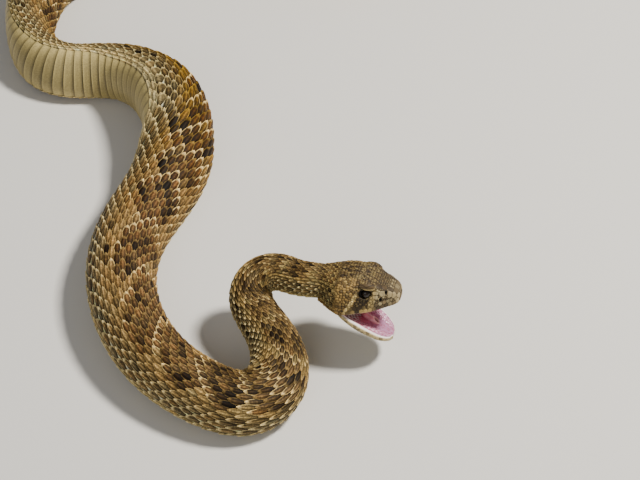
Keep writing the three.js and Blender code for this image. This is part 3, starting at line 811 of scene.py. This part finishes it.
one_tone_share = 0.25
seam_width, seam_growth = 0.3, 0.12
seed_chance, seed_choice = draw.random((2, len(seeds)))
seed_chance[1:1 + len(front_shields)] = front_shields[:, 5]
mixed = one_tone_share * seeds[owner, :3] + (1 - one_tone_share) * flat_half
paint = head_markings(*mixed.T, seed_chance[owner], seed_choice[owner])
paint = paint * (0.45 + 0.65 * seed_choice[owner])[:, None]
# Painted highlight in the middle of each small scale, in the rim's colour, but not on dark specks.
painted_scale_highlight = np.exp(-((near / 0.55) ** 2)) * is_small
paint = blend(paint, head_tone["rim"], 0.32 * painted_scale_highlight * (seed_chance[owner] > 0.26))
# Grooves between the head's scales and shields are darkened as painted shade.
seam = seam_width + seam_growth * smooth_step(32, 37, skin_x)
paint = paint * (0.1 + 0.98 * smooth_step(0.0, 1.0, to_edge / seam))[:, None]
# Under the nape's scales the head skin is painted dark, as painted shade.
paint = blend(paint, head_tone["speck"], under_nape)
brow_streak = smooth_step(0.0, 0.8, np.sin(5.2 * skin_up + 1.2 * np.sin(1.4 * skin_x)))
around_eye = beside_eye * smooth_step(3.5, 3.0, from_eye)
# The brow has its own brown, dark streaks and pale lower edge; below that edge its face is painted
# near black as painted shade, and the socket round the eye, the pit and the nostrils are darkened as
# painted shade.
for colour, share in (
        (head_tone["brow"], 0.9 * is_brow),
        (head_tone["speck"], 0.6 * is_brow * brow_streak),
        (head_tone["stripe"], 0.6 * is_brow * smooth_step(8.9, 8.5, skin_up)),
        (head_tone["speck"], 0.9 * is_brow * smooth_step(8.2, 7.9, skin_up)),
        (head_tone["speck"] * 0.6, np.maximum(socket, 0.6 * around_eye * ~is_brow)),
        (head_tone["speck"] * 0.2, smooth_step(1.3, 0.8, pit_gap)),
        (head_tone["speck"] * 0.2, smooth_step(1.1, 0.7, nostril_gap))):
    paint = blend(paint, colour, share)
on_palate = smooth_step(outer_columns + 2, outer_columns + 9, column_of)
flesh = blend(head_tone["gum"], head_tone["palate"], on_palate)
# Towards the mouth's corner the lining turns dark red, partly its own colour and partly painted shade.
flesh = blend(flesh, head_tone["mouth"], 0.85 * smooth_step(24, 16, skin_x))
paint = blend(paint, flesh, in_mouth)

snout_cap = 0.2
snout_cap_up = 0.5
head_unwrap_length = 48.0
raised = smooth_half + half_normal * relief.reshape(smooth_half.shape[:2])[..., None]
raised[:, [0, -1], 1] = 0
rings = whole_rings(raised, (1, -1, 1))
head_ends = np.array([[head_rows[0], 0, 0], [head_length + snout_cap, 0, snout_cap_up]])
# Horny skin, dull and finely grained, so that its scales show by their grooves.
head_horn = horn_material("keeled_head_skin", roughness=0.58, grain=0.2, grain_depth=0.03,
                          gloss=0.25, mottle=(0.85, 1.15))
head_skin = make_tube("head_skin", head_to_model(rings), head_to_model(head_ends),
                      whole_rings(paint.reshape(smooth_half.shape)),
                      [head_tone["speck"], head_tone["snout"]], rings[..., 0] / head_unwrap_length,
                      head_horn)
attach(head_skin, "root")
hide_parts("head")

# Lower jaw
# It hangs open from the mouth's corner. Outside it is scaled, its rim is a pale dry lip, and
# the moist lining inside has a fold along each side, over the tooth row, and fine wrinkles.
jaw_length = 29.4
jaw_rear = -2.0
gape = math.radians(29)
jaw_clearance = 0.45
jaw_gap = 0.3
jaw_depth_at = along_stations([[0, 5], [10, 5.6], [20, 4.8], [jaw_length, 3.2]])
jaw_width_at = along_stations([
    [jaw_rear, 15.6], [0, 16.4], [4, 17.1], [7, 17.1], [12, 16.4], [18, 14.9], [22, 13.5],
    [25.5, 11], [28, 7.6], [jaw_length, 3.4]])
jaw_hollow_at = along_stations([[0, 0.5], [10, 0.45], [20, 0.2], [26, 0.15], [jaw_length, 0.05]])


def jaw_drop(d):
    """How far the rim hangs below the head's axis at a distance d from the mouth's corner."""
    return d * math.tan(gape) - lip_at(mouth_corner) + jaw_clearance


def jaw_half_section(d):
    """Ten points out and up at each distance d from the mouth's corner: the floor, the rim, and
    round under the jaw, dropped along the gape."""
    width, depth = jaw_width_at(d)[:, None], jaw_depth_at(d)[:, None]
    hollow = depth * jaw_hollow_at(d)[:, None]
    zero = np.zeros_like(width)
    out = width * np.array([0, 0.4, 0.72, 0.82, 0.93, 1, 0.97, 0.72, 0.36, 0])
    up = np.hstack([-hollow, -hollow, -0.75 * hollow, zero - 0.1, zero, -0.22 * depth,
                    -0.6 * depth, -0.92 * depth, -depth, -depth])
    return np.stack([out, up - jaw_drop(d)[:, None]], -1)


jaw_rows = np.r_[np.linspace(jaw_rear, 25.5, 110), np.linspace(25.7, jaw_length, 24)]
floor_columns, rim_columns, under_columns = 46, 16, 60
jaw_half = half_surface(jaw_rows, jaw_half_section(jaw_rows), [(0, 3), (3, 5), (5, 9)],
                        [floor_columns, rim_columns, under_columns])
jaw_half[..., 0] += mouth_corner + jaw_gap
rim_middle = floor_columns + rim_columns // 2
rim_end = floor_columns + rim_columns
column_of = np.broadcast_to(np.arange(jaw_half.shape[1]), jaw_half.shape[:2])
distance = np.broadcast_to(jaw_rows[:, None], jaw_half.shape[:2])
out_share = jaw_half[..., 1] / jaw_width_at(distance)
rim_share = 0.965 - 0.07 * smooth_step(0, 10, distance)
on_floor = smooth_step(rim_share + 0.015, rim_share - 0.03, out_share) * (column_of < rim_middle)
on_under = smooth_step(rim_end - 6, rim_end - 1, column_of)

# Folds of the lining at shares of the half width, and wrinkles over all of it.
outer_fold, outer_fold_width, outer_fold_rise = 0.66, 0.07, 0.9
inner_fold, inner_fold_width, inner_fold_rise = 0.5, 0.05, 0.5
wrinkle_rise = 0.16
fold = outer_fold_rise * np.exp(-(((out_share - outer_fold) / outer_fold_width) ** 2))
fold = fold + inner_fold_rise * np.exp(-(((out_share - inner_fold) / inner_fold_width) ** 2))
wrinkle = wrinkle_rise * np.sin(distance * 2.6 + 7 * out_share) * np.sin(out_share * 31)
fold_reach = smooth_step(3, 9, distance) * smooth_step(jaw_length, 24, distance)
relief = on_floor * (fold * fold_reach + wrinkle)

# Scales under the jaw: a row of longer shields along the lip, and small ones in offset rows.
under_pitch = 1.9
first_shield, first_scale = 1.3, 3.2
shield_half_width, scale_half_width = 1.25, 0.95
under_rise = 0.3
under_seeds = []
for row, d in enumerate(np.arange(-1, jaw_length, under_pitch)):
    k = int(np.argmin(np.abs(jaw_rows - d)))
    line = jaw_half[k, rim_middle:]
    lengths = np.r_[0, np.cumsum(np.linalg.norm(np.diff(line, axis=0), axis=1))]
    first = first_scale + 0.9 * (row % 2)
    for n, place in enumerate(np.r_[first_shield, np.arange(first, lengths[-1] + 1, under_pitch)]):
        spot = line[int(np.argmin(np.abs(lengths - place)))]
        under_seeds.append([*spot, 1.0, shield_half_width if n == 0 else scale_half_width])
under_seeds = np.array(under_seeds)
owner, near, following = nearest_shields(jaw_half.reshape(-1, 3), under_seeds)
to_edge = ((following - near) * under_seeds[owner, 4]).reshape(distance.shape)
relief = relief + under_rise * on_under * smooth_step(0, 0.4, to_edge)

# Paint: a pink floor with veins, lilac to the front and dark red in the throat, partly its own
# colour and partly painted shade, inside a pale rim, over tan scales.
jaw_tone = {name: to_linear(value) for name, value in {
    "rim": "F7EEEA", "floor": "B8506C", "lilac": "AE7A9A", "fold": "DCA6BE", "throat_red_and_shade": "5E0A12",
    "chin": "B59F6C", "speck": "54401F", "belly": "B5A878",
}.items()}
vein_count, vein_half_width = 70, 0.5
vein_columns = floor_columns + 10
jaw_chance = draw.random(len(under_seeds))[owner].reshape(distance.shape)
floor_paint = blend(jaw_tone["floor"], jaw_tone["lilac"], smooth_step(10, 24, distance))
floor_paint = blend(floor_paint, jaw_tone["fold"], 0.8 * np.clip(fold, 0, 1))
vein_along = mouth_corner + draw.uniform(12, 29, vein_count)
vein_seeds = np.column_stack([vein_along, draw.uniform(0, 14, vein_count)])
vein_gap = np.linalg.norm(jaw_half[:, :vein_columns, None, :2] - vein_seeds, axis=-1).min(-1)
vein = np.pad(np.exp(-((vein_gap / vein_half_width) ** 2)),
              ((0, 0), (0, jaw_half.shape[1] - vein_columns)))
floor_paint = blend(floor_paint, jaw_tone["floor"] * 0.7, 0.85 * vein)
# Towards the throat the floor turns dark red, partly its own colour and partly painted shade.
floor_paint = blend(floor_paint, jaw_tone["throat_red_and_shade"], smooth_step(15, 6, distance + 3 * out_share))
under_paint = blend(jaw_tone["chin"], jaw_tone["belly"], smooth_step(0.9, 0.6, out_share))
under_paint = blend(under_paint, jaw_tone["speck"], 0.7 * (jaw_chance < 0.25) * (out_share > 0.5))
# Grooves between the scales under the jaw are darkened as painted shade.
under_paint = under_paint * (0.45 + 0.55 * smooth_step(0, 0.3, to_edge))[..., None]
paint = blend(blend(jaw_tone["rim"], floor_paint, on_floor), under_paint, on_under)

jaw_unwrap_length = 33.0
jaw_normal = outward_normals(jaw_half, slice(20, 90), slice(5, 30))
raised = jaw_half + jaw_normal * relief[..., None]
raised[:, [0, -1], 1] = 0
rings = whole_rings(raised, (1, -1, 1))
# Moist lining, smooth enough for soft highlights.
moist_lining = horn_material("moist_mouth_lining", roughness=0.28, grain=0.5, grain_depth=0.05,
                             gloss=0.5, mottle=(0.88, 1.1))
jaw_skin = make_tube("lower_jaw_skin", head_to_model(rings),
                     head_to_model(rings[[0, -1]].mean(1)), whole_rings(paint),
                     [jaw_tone["throat_red_and_shade"], jaw_tone["rim"]],
                     (rings[..., 0] - mouth_corner - jaw_rear) / jaw_unwrap_length, moist_lining)
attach(jaw_skin, "root")
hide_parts("lower_jaw")

# Glottis
# The end of the windpipe, a pale fleshy tube that lies along the mouth's floor and opens in an
# upright slit at its front, whose inside is painted near black as painted shade.
glottis_along, glottis_half_length, glottis_half_width, glottis_rise = 15.0, 5.8, 2.6, 2.5
glottis_lift = 0.2
tube_rows, tube_columns = 40, 36
flat_unwrap_scale = 0.48
slit_middle, slit_half_length, slit_half_width = 0.55, 0.42, 0.62
lip_ring, lip_ring_width = 1.15, 0.3
slit_depth, lip_rise = 0.85, 0.14
reach, turn = np.meshgrid(np.linspace(-1, 1, tube_rows),
                          np.arange(tube_columns) / tube_columns * 2 * np.pi, indexing="ij")
girth_share = np.sqrt(np.clip(1 - np.abs(reach) ** 3.2, 0, 1))
girth_share = girth_share * (0.8 + 0.2 * smooth_step(-0.2, 0.6, reach))
slit_gap = np.hypot((reach - slit_middle) / slit_half_length, np.cos(turn) / slit_half_width)
opening = smooth_step(1.0, 0.7, slit_gap) * (np.sin(turn) > 0)
lips = np.exp(-(((slit_gap - lip_ring) / lip_ring_width) ** 2)) * (np.sin(turn) > 0)
size = girth_share * (1 - slit_depth * opening + lip_rise * lips)
local = np.stack([reach * glottis_half_length, size * glottis_half_width * np.cos(turn),
                  size * glottis_rise * np.sin(turn)], -1)
along_jaw = np.array([math.cos(gape), 0, -math.sin(gape)])
off_jaw = np.array([math.sin(gape), 0, math.cos(gape)])
floor_depth = float(jaw_depth_at(glottis_along) * jaw_hollow_at(glottis_along))
tube_middle = np.array([mouth_corner + jaw_gap + glottis_along, 0,
                        -float(jaw_drop(glottis_along)) - floor_depth + glottis_lift])
tube = (local @ np.stack([along_jaw, [0, 1, 0], off_jaw]) + tube_middle)[:, ::-1]
tube_tone = blend(to_linear("C87882"), to_linear("F0A8A8"), lips)
# The slit's opening is painted near black as painted shade.
tube_tone = blend(tube_tone, to_linear("140204"), opening)[:, ::-1]
tube_places = np.stack([0.5 + flat_unwrap_scale * reach, turn / (2 * np.pi)], -1)[:, ::-1]
windpipe = make_tube("glottis", head_to_model(tube), head_to_model(tube[[0, -1]].mean(1)),
                     tube_tone, tube_tone[[0, -1]].mean(1), reach, moist_lining,
                     unwrap=np.vstack([tube_places.reshape(-1, 2), unwrap_ends]))
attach(windpipe, "root")

# Eyes
# Each is a ball under a clear fixed scale, with a dark bronze iris and an upright slit pupil.
# It sits in a socket at the side of the head, under the brow.
ball_rows, ball_columns = 60, 96
pupil_half_width, pupil_half_length = 0.13, 0.6
ball_inset = 0.35
polar, turn = np.meshgrid((np.arange(ball_rows) + 1) / (ball_rows + 1) * np.pi,
                          np.arange(ball_columns) / ball_columns * 2 * np.pi, indexing="ij")
ball = np.stack([np.sin(polar) * np.cos(turn), np.cos(polar), np.sin(polar) * np.sin(turn)], -1)
ball_ends = np.array([[0, 1.0, 0], [0, -1.0, 0]])
ball_unwrap = 0.5 + flat_unwrap_scale * np.vstack([ball.reshape(-1, 3), ball_ends])[:, [0, 2]]


def eye_paint(place, side):
    """Iris darker to its edge, and a black slit where the ellipse's measure is below one, on
    the half that looks out. Places are on a ball of radius one."""
    edge = np.hypot(place[..., 0], place[..., 2])
    shade = blend(to_linear("241A12"), to_linear("0A0604"), smooth_step(0.4, 0.8, edge))
    pupil = np.hypot(place[..., 0] / pupil_half_width, place[..., 2] / pupil_half_length)
    return blend(shade, to_linear("060403"), smooth_step(1.1, 0.9, pupil) * (place[..., 1] * side > 0))


# Clear hard eye scale over the iris, glossy with one sharp highlight.
eye_gloss = horn_material("clear_eye_scale", roughness=0.08, grain=0.5, grain_depth=0.0,
                          gloss=0.3, mottle=(0.7, 1.25))
for name, side in (("eye_left", 1), ("eye_right", -1)):
    middle = eye_place * [1, side, 1] - [0, ball_inset * side, 0]
    eyeball = make_tube(name + "_ball", head_to_model(middle + ball * eye_radius),
                        head_to_model(middle + ball_ends * eye_radius), eye_paint(ball, side),
                        eye_paint(ball_ends, side), polar, eye_gloss, unwrap=ball_unwrap)
    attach(eyeball, "root")
    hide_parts(name)

# Scales of the back and flanks
# Each is a dry horn plate with a keel down its middle, fixed at its front edge and lying over
# the next ones behind. They run in long rows that are offset by half a scale from each other.

# Outline of one scale: places along as shares of its length, half widths there, and places
# across as shares of those.
blade_along = np.array([0.0, 0.2, 0.4, 0.6, 0.78, 0.92, 1.0])
blade_half_width = np.array([0.6, 0.88, 1.0, 0.95, 0.74, 0.42, 0.1])
blade_across = np.array([-1, -0.74, -0.36, 0, 0.36, 0.74, 1])
blade_length = 1.42
blade_start = -0.72
blade_half_rows = 0.72
plate_thickness = 0.3
scale_patch = 0.003
lift_start, lift_growth, lift_power = 0.55, 1.3, 1.2
keel_half_width, keel_end_fall = 0.24, 0.6
edge_fall = 0.42
low_edge_shade = 0.5
# Width of the painted highlight along the keel, and the darker share of the paint beside it.
keel_highlight_width, beside_keel_shade = 0.22, 0.42
flat_middle_shade, flat_edge_gain = 0.85, 0.5
covered_shade = 0.18
tail_clearance = 0.4
last_head_place, join_reach = 3.5, 1.5


def blade_faces(rows, columns):
    """Faces of one closed plate: its top grid, a ladder under it from edge to edge, its two
    long sides and its two ends. Points are the top grid, then the left and right low edges."""
    i, j = np.meshgrid(np.arange(rows - 1), np.arange(columns - 1), indexing="ij")
    top = np.stack([i * columns + j, (i + 1) * columns + j, (i + 1) * columns + j + 1,
                    i * columns + j + 1], -1).reshape(-1, 4)
    base = rows * columns
    i = np.arange(rows - 1)
    under = np.stack([base + 2 * i, base + 2 * i + 1, base + 2 * i + 3, base + 2 * i + 2], -1)
    left = np.stack([i * columns, base + 2 * i, base + 2 * i + 2, (i + 1) * columns], -1)
    right = np.stack([i * columns + columns - 1, (i + 1) * columns + columns - 1,
                      base + 2 * i + 3, base + 2 * i + 1], -1)
    front = np.r_[np.arange(columns), base + 1, base][None]
    back = np.r_[(np.arange(columns) + (rows - 1) * columns)[::-1], base + 2 * rows - 2,
                 base + 2 * rows - 1][None]
    return [np.vstack([top, under, left, right]), np.vstack([front, back])]


def skin_surface(s, angle, height):
    """Points a height above the body behind the neck joint, and above the head before it, eased
    from one to the other over three millimetres."""
    s, angle, height = np.broadcast_arrays(s, angle, height)
    on_body = body_surface(np.maximum(s, -last_head_place), angle, height)
    on_head = head_surface(np.maximum(-s, head_rows[0]), angle, height)
    return on_body + (on_head - on_body) * smooth_step(join_reach, -join_reach, s)[..., None]


def plate_paint(u, v, colours, keeled, painted_light_side, shade_end):
    """Paint of plates from u along them and v across: a keeled one has a painted highlight along
    the keel and is dark beside it, a flat one is lighter to its long edges, partly by its own
    colour and partly as painted light. The thin rim is pale, with a painted highlight on the lit
    side where that is not zero and painted shade on the other side, the rear end has the tip's
    colour, and the front, in the shade of the next plate, is darkened as painted shade."""
    middle, rim, tip = (c[:, None, None, :] for c in colours)
    side, along = np.broadcast_arrays(np.abs(v), u)
    lit = painted_light_side[:, None, None] * v
    # Painted highlight along the keel; a flat plate is lighter to its long edges, partly its own
    # colour and partly painted light.
    painted_keel_highlight = beside_keel_shade + np.exp(-((v / keel_highlight_width) ** 2))
    edge_light = flat_middle_shade + flat_edge_gain * smooth_step(0.3, 0.95, side)
    paint = middle * np.where(keeled[:, None, None], painted_keel_highlight, edge_light)[..., None]
    rim_share = np.maximum(smooth_step(0.74, 1.0, side), smooth_step(0.86, 1.0, along))
    # Painted light on the rims of low-row scales: a highlight on the edge towards the belly, painted
    # shade on the other edge.
    rim_share = rim_share * np.clip(0.9 + 0.5 * lit, 0, 1)
    paint = blend(paint, rim * (1 + lit + 0 * along)[..., None], rim_share)
    pale_tip = np.clip(3 * np.sum(np.abs(tip - rim), -1), 0, 1)
    at_tip = smooth_step(0.84 - 0.05 * pale_tip, 0.99 - 0.04 * pale_tip, along)
    at_tip = np.maximum(at_tip, smooth_step(0.5, 0.7, along) * (side > 0.95))
    paint = blend(paint, tip, 0.95 * at_tip)
    # Painted shade over the covered front of each plate.
    uncovered = smooth_step(0.28, shade_end, along)
    return paint * (covered_shade + (1 - covered_shade) * uncovered)[..., None]


def plates_on_body(s, angle, length, half_angle, lift, keel, colours, outline, painted_light_side=None,
                   shade_end=0.6):
    """Many plates as arrays. u runs along a plate and v across it. Height is a lift that grows
    to the free edge, less a fall to the long edges, plus a keel over the middle. Each plate's
    place on the unwrap is a small patch at the place that it grows from."""
    along, half_width, across = outline
    u = along[None, :, None]
    v = across[None, None, :]
    width = half_width[None, :, None]
    place = s[:, None, None] + (blade_start + u * blade_length) * length[:, None, None]
    place = np.minimum(place + 0 * v, tail_end - tail_clearance)
    turn = angle[:, None, None] + v * width * half_angle[:, None, None]
    rise = lift[:, None, None] * (lift_growth * u**lift_power - lift_start - edge_fall * v**2)
    ridge = keel[:, None, None] * np.exp(-((v / keel_half_width) ** 2))
    ridge = ridge * smooth_step(0.1, 0.5, u) * (1 - keel_end_fall * smooth_step(0.85, 1.0, u))
    height = rise + ridge
    top = skin_surface(place, turn, height)
    ends = [0, -1]
    low = skin_surface(place[..., ends], turn[..., ends], height[..., ends] - plate_thickness)
    count = len(s)
    painted_light_side = np.zeros(count) if painted_light_side is None else painted_light_side
    paint = plate_paint(u, v, colours, keel > 0, painted_light_side, shade_end)
    # The low edges under each plate are darkened to half as painted shade.
    low_paint = paint[:, :, ends] * low_edge_shade
    points, paint = (np.concatenate([a.reshape(count, -1, 3), b.reshape(count, -1, 3)], 1)
                     for a, b in ((top, low), (paint, low_paint)))
    spot = np.stack(np.broadcast_arrays(u - 0.5, 0.5 * v), -1)[0]
    spot = np.concatenate([spot.reshape(-1, 2), spot[:, ends].reshape(-1, 2)])
    root = unwrap_place(s / unwrap_length, (angle + np.pi) / (2 * np.pi))
    return points, paint, root[:, None, :] + spot[None] * scale_patch


def joined_plates(name, arrays, outline, material, sharp=50):
    """One object from the arrays of many plates of one outline."""
    points, paint, spots = arrays
    count, size = points.shape[:2]
    shift = (np.arange(count) * size)[:, None, None]
    faces = [(f[None] + shift).reshape(-1, f.shape[1])
             for f in blade_faces(len(outline[0]), len(outline[2]))]
    piece = make_piece(name, points.reshape(-1, 3), faces, paint.reshape(-1, 3),
                       spots.reshape(-1, 2), material, sharp)
    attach(piece, "root")
    return piece


# Dry horn scales, dull, with a coarse mottle that breaks up each one's colour.
dry_scale = horn_material("dry_keeled_scale", roughness=0.62, grain=0.25, grain_depth=0.04,
                          gloss=0.1, mottle=(0.36, 1.6))
total_rows = int(np.interp(vent, pitch_places, row_numbers))
row_index, column_index = np.meshgrid(np.arange(total_rows), np.arange(scale_rows), indexing="ij")
side_index = (column_index - (scale_rows - 1) / 2).ravel()
row_place = (row_index + 0.5 * np.mod(column_index, 2)).ravel()
scale_s = np.interp(row_place, row_numbers, pitch_places)
keep = scale_s > -11.5
scale_s, side_index = scale_s[keep], side_index[keep]
scale_pitch = np.interp(scale_s, pitch_places, scale_pitches)
chance, choice = draw.random((2, len(scale_s)))
middle, rim, tip = body_markings(scale_s, side_index, chance, choice)
on_nape = smooth_step(6, -8, scale_s)
middle = blend(middle, head_tone["speck"], 0.3 * on_nape)
rim = blend(rim, head_tone["rim"], 0.8 * on_nape)
tip = blend(tip, head_tone["rim"], 0.8 * on_nape)
least_light, light_range = 0.98, 1.16
lightness = least_light + light_range * draw.random((len(scale_s), 1))
pale_neck = smooth_step(85, 45, scale_s)
pale_bend = smooth_step(135, 160, scale_s) * smooth_step(310, 270, scale_s)
lightness = lightness * ((1 + 0.3 * pale_neck) * (1 + 0.3 * pale_bend))[:, None]
tint = 1 + 0.07 * draw.normal(size=(len(scale_s), 1)) * [1, 0.2, -1.0]
# Painted glint: by chance a quarter of the scales get rims 1.4 times as bright.
glint = 1 + 0.4 * (draw.random((len(scale_s), 1)) > 0.75)
scale_colours = (middle * lightness * tint, rim * (0.3 + 0.7 * lightness) * tint * glint, tip)
# Scales whose rims get the painted highlight and painted shade: the low rows, lit on the edge towards
# the belly.
painted_light_side = np.sign(side_index) * smooth_step(5, 9, np.abs(side_index))
place_wobble, row_wobble = 0.035, 0.03
lift_at_full_girth, full_girth = 0.66, 20.0
scale_s = scale_s + draw.normal(0, place_wobble, len(scale_s)) * scale_pitch
scale_angle = (side_index + draw.normal(0, row_wobble, len(scale_s))) * row_step
scale_lift = lift_at_full_girth * np.sqrt(girth(scale_s) / full_girth)
scale_lift = scale_lift * (1 - 0.5 * smooth_step(-2, -11, scale_s))
keel_height = 0.5 * scale_lift * (1 - 0.85 * smooth_step(9, 11.5, np.abs(side_index)))
half_angle = blade_half_rows * row_step * (0.96 + 0.08 * draw.random(len(scale_s)))
blade_outline = (blade_along, blade_half_width, blade_across)
coat_lengths = [(-12, 250), (250, 560), (560, 800), (800, 1011)]
for number, (low, high) in enumerate(coat_lengths, 1):
    chosen = (scale_s >= low) & (scale_s < high)
    laid = [a[chosen] for a in (scale_s, scale_angle, scale_pitch, half_angle, scale_lift,
                                keel_height)]
    arrays = plates_on_body(*laid, [c[chosen] for c in scale_colours], blade_outline,
                            painted_light_side[chosen])
    joined_plates(f"back_scales_{number}", arrays, blade_outline, dry_scale)

# Belly scutes
# Wide smooth plates of horn that cross the belly from flank to flank, each fixed in front and
# free behind, so that every rear edge stands a little proud of the next plate.
scute_outline = (np.array([0.0, 0.3, 0.6, 0.85, 0.96, 1.0]),
                 np.array([0.96, 1.0, 1.0, 0.985, 0.96, 0.94]), np.linspace(-1, 1, 19))
scute_overlap = math.radians(4)
scute_half_angle = math.pi - scale_edge + scute_overlap
scute_rise = 0.6
scute_shade_end = 0.4
scute_count = int(np.interp(tail_end, pitch_places, row_numbers)) - 1
scute_s = np.interp(np.arange(scute_count) + 0.8, row_numbers, pitch_places)
scute_s = scute_s[scute_s > 1]
scute_count = len(scute_s)
scute_pitch = np.interp(scute_s, pitch_places, scale_pitches)
scute_lift = scute_rise * np.sqrt(girth(scute_s) / full_girth)
scute_tone = tone["belly"] * (0.9 + 0.25 * draw.random(scute_count))[:, None]
on_tail = smooth_step(vent, vent + 12, scute_s)
scute_tone = blend(scute_tone, tone["tail_pale"] * 0.8, on_tail)
# Smooth horn, a little shinier than the back, with a grain too fine to see as bumps.
smooth_scute = horn_material("smooth_belly_scute", roughness=0.5, grain=0.4, grain_depth=0.02,
                             gloss=0.3)
arrays = plates_on_body(scute_s, np.full(scute_count, math.pi), scute_pitch,
                        np.full(scute_count, scute_half_angle), scute_lift,
                        np.zeros(scute_count), (scute_tone, scute_tone * 1.4, scute_tone * 1.2),
                        scute_outline, shade_end=scute_shade_end)
joined_plates("belly_scutes", arrays, scute_outline, smooth_scute)

# Scales of the tail
# Horn plates like those of the back, in fewer and broader rows, fixed in the same way. They
# carry the black and white bands of the species.
tail_rows = 15
tail_pitch = 4.4
tail_lift, tail_keel = 0.38, 0.18
first_tail_ring = 2.5
tail_rings = int((tail_end - vent) / tail_pitch)
ring_index, column_index = np.meshgrid(np.arange(tail_rings), np.arange(tail_rows), indexing="ij")
tail_place = first_tail_ring + (ring_index + 0.5 * np.mod(column_index, 2)) * tail_pitch
tail_s = (vent + tail_place).ravel()
tail_step = 2 * scale_edge / tail_rows
tail_angle = ((column_index - (tail_rows - 1) / 2) * tail_step).ravel()
tail_chance = draw.random(len(tail_s))
tail_colours = body_markings(tail_s, tail_angle / row_step, tail_chance, tail_chance)
tail_colours = [c * (0.86 + 0.28 * tail_chance)[:, None] for c in tail_colours]
even = np.ones(len(tail_s))
arrays = plates_on_body(tail_s, tail_angle, tail_pitch * even, blade_half_rows * tail_step * even,
                        tail_lift * even, tail_keel * even, tail_colours, blade_outline)
joined_plates("tail_scales", arrays, blade_outline, dry_scale)

# Rattle
# A string of hollow horn segments, each the cast end of the tail from one shedding, gripping
# the next by its inner lobes, so that only its broad first lobe shows.
rattle_length = 42.0
rattle_segments = 9
rattle_columns = 64
rattle_half_widths = (3.9, 2.9)
rattle_half_heights = (6.3, 4.4)
rattle_gap = 0.15
waist_depth, waist_spread = 0.16, 0.35

# Outline of one segment: places along as shares of its length, and its size there.
lobe_places = np.array([0.0, 0.05, 0.1, 0.17, 0.27, 0.38, 0.47, 0.54, 0.62, 0.72, 0.83, 0.93])
lobe_sizes = np.array([0.72, 0.86, 0.95, 1.0, 1.01, 0.97, 0.91, 0.89, 0.92, 0.92, 0.86, 0.76])
segment, place = np.meshgrid(np.arange(rattle_segments), lobe_places, indexing="ij")
rattle_s = (tail_end + rattle_gap + (segment + place) * rattle_length / rattle_segments).ravel()
rattle_s[:2] = tail_end - 1.6, tail_end - 0.6
rattle_size = np.tile(lobe_sizes, rattle_segments)
rattle_share = segment.ravel() / (rattle_segments - 1)
turn = np.arange(rattle_columns) / rattle_columns * 2 * np.pi
waist = 1 - waist_depth * np.exp(-((np.cos(turn) / waist_spread) ** 2))
centre, right, back = spine_frame(rattle_s)
half_width = np.interp(rattle_share, [0, 1], rattle_half_widths) * rattle_size
half_height = np.interp(rattle_share, [0, 1], rattle_half_heights) * rattle_size
across = half_width[:, None] * waist * np.sin(turn)
up = half_height[:, None] * np.cos(turn)
rattle_points = centre[:, None] + right[:, None] * across[..., None] + back[:, None] * up[..., None]
rattle_points = (rattle_points - footprint_middle)[:, ::-1] * millimetre
# The grooves between the lobes are darkened as painted shade.
groove_shade = 0.22 + 0.83 * smooth_step(0.74, 0.97, rattle_size)
rattle_tone = to_linear("B8946A") * groove_shade[:, None]
streak_turn = 7 * turn[None] + 2.5 * segment.ravel()[:, None]
horn_streak = 1 + 0.1 * np.sin(streak_turn) * np.sin(3 * turn[None])
# Dry tan horn, half dull, with faint streaks along it.
rattle_horn = horn_material("dry_rattle_horn", roughness=0.45, grain=0.5, grain_depth=0.03,
                            gloss=0.45)
rattle = make_tube("rattle_horn", rattle_points, rattle_points[[0, -1]].mean(1),
                   rattle_tone[:, None] * horn_streak[..., None], rattle_tone[[0, -1]],
                   (rattle_s[:, None] - tail_end) / rattle_length, rattle_horn)
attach(rattle, "root")
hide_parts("rattle")

# Floor and light
# A plain pale matt floor, with a broad soft key light from the upper right and a weak fill
# from the left, under an even grey sky.
floor_size = 6.0
floor_corners = [(-floor_size, -floor_size, 0), (floor_size, -floor_size, 0),
                 (floor_size, floor_size, 0), (-floor_size, floor_size, 0)]
floor_data = bpy.data.meshes.new("floor")
floor_data.from_pydata(floor_corners, [], [(0, 1, 2, 3)])
floor = bpy.data.objects.new("floor", floor_data)
bpy.context.scene.collection.objects.link(floor)
floor_paint = bpy.data.materials.new("matt_studio_floor")
floor_paint.use_nodes = True
floor_shader = floor_paint.node_tree.nodes["Principled BSDF"]
floor_shader.inputs["Base Color"].default_value = (*to_linear("DEDBD6"), 1)
floor_shader.inputs["Roughness"].default_value = 0.9
floor_data.materials.append(floor_paint)


def add_softbox(name, place, aim, size, power, colour):
    """A square area light at a place, turned to an aim point. Metres and watts."""
    light = bpy.data.lights.new(name, "AREA")
    light.energy = power
    light.size = size
    light.color = colour
    lamp = bpy.data.objects.new(name, light)
    way = np.array(aim) - np.array(place)
    lamp.location = place
    lamp.rotation_euler = (
        math.acos(-way[2] / np.linalg.norm(way)), 0, math.atan2(way[1], way[0]) - math.pi / 2)
    bpy.context.scene.collection.objects.link(lamp)


add_softbox("key_light", place=(0.95, 0.0, 1.55), aim=(0, 0, 0), size=0.3, power=55,
            colour=(1.0, 0.965, 0.89))
add_softbox("fill_light", place=(-0.5, -1.6, 1.1), aim=(0, 0, 0), size=1.0, power=8,
            colour=(0.94, 0.97, 1.0))
sky_grey = 0.88
sky_strength = 0.24
world = bpy.data.worlds.new("studio")
world.use_nodes = True
sky = world.node_tree.nodes["Background"]
sky.inputs["Color"].default_value = (sky_grey, sky_grey, sky_grey, 1)
sky.inputs["Strength"].default_value = sky_strength
bpy.context.scene.world = world
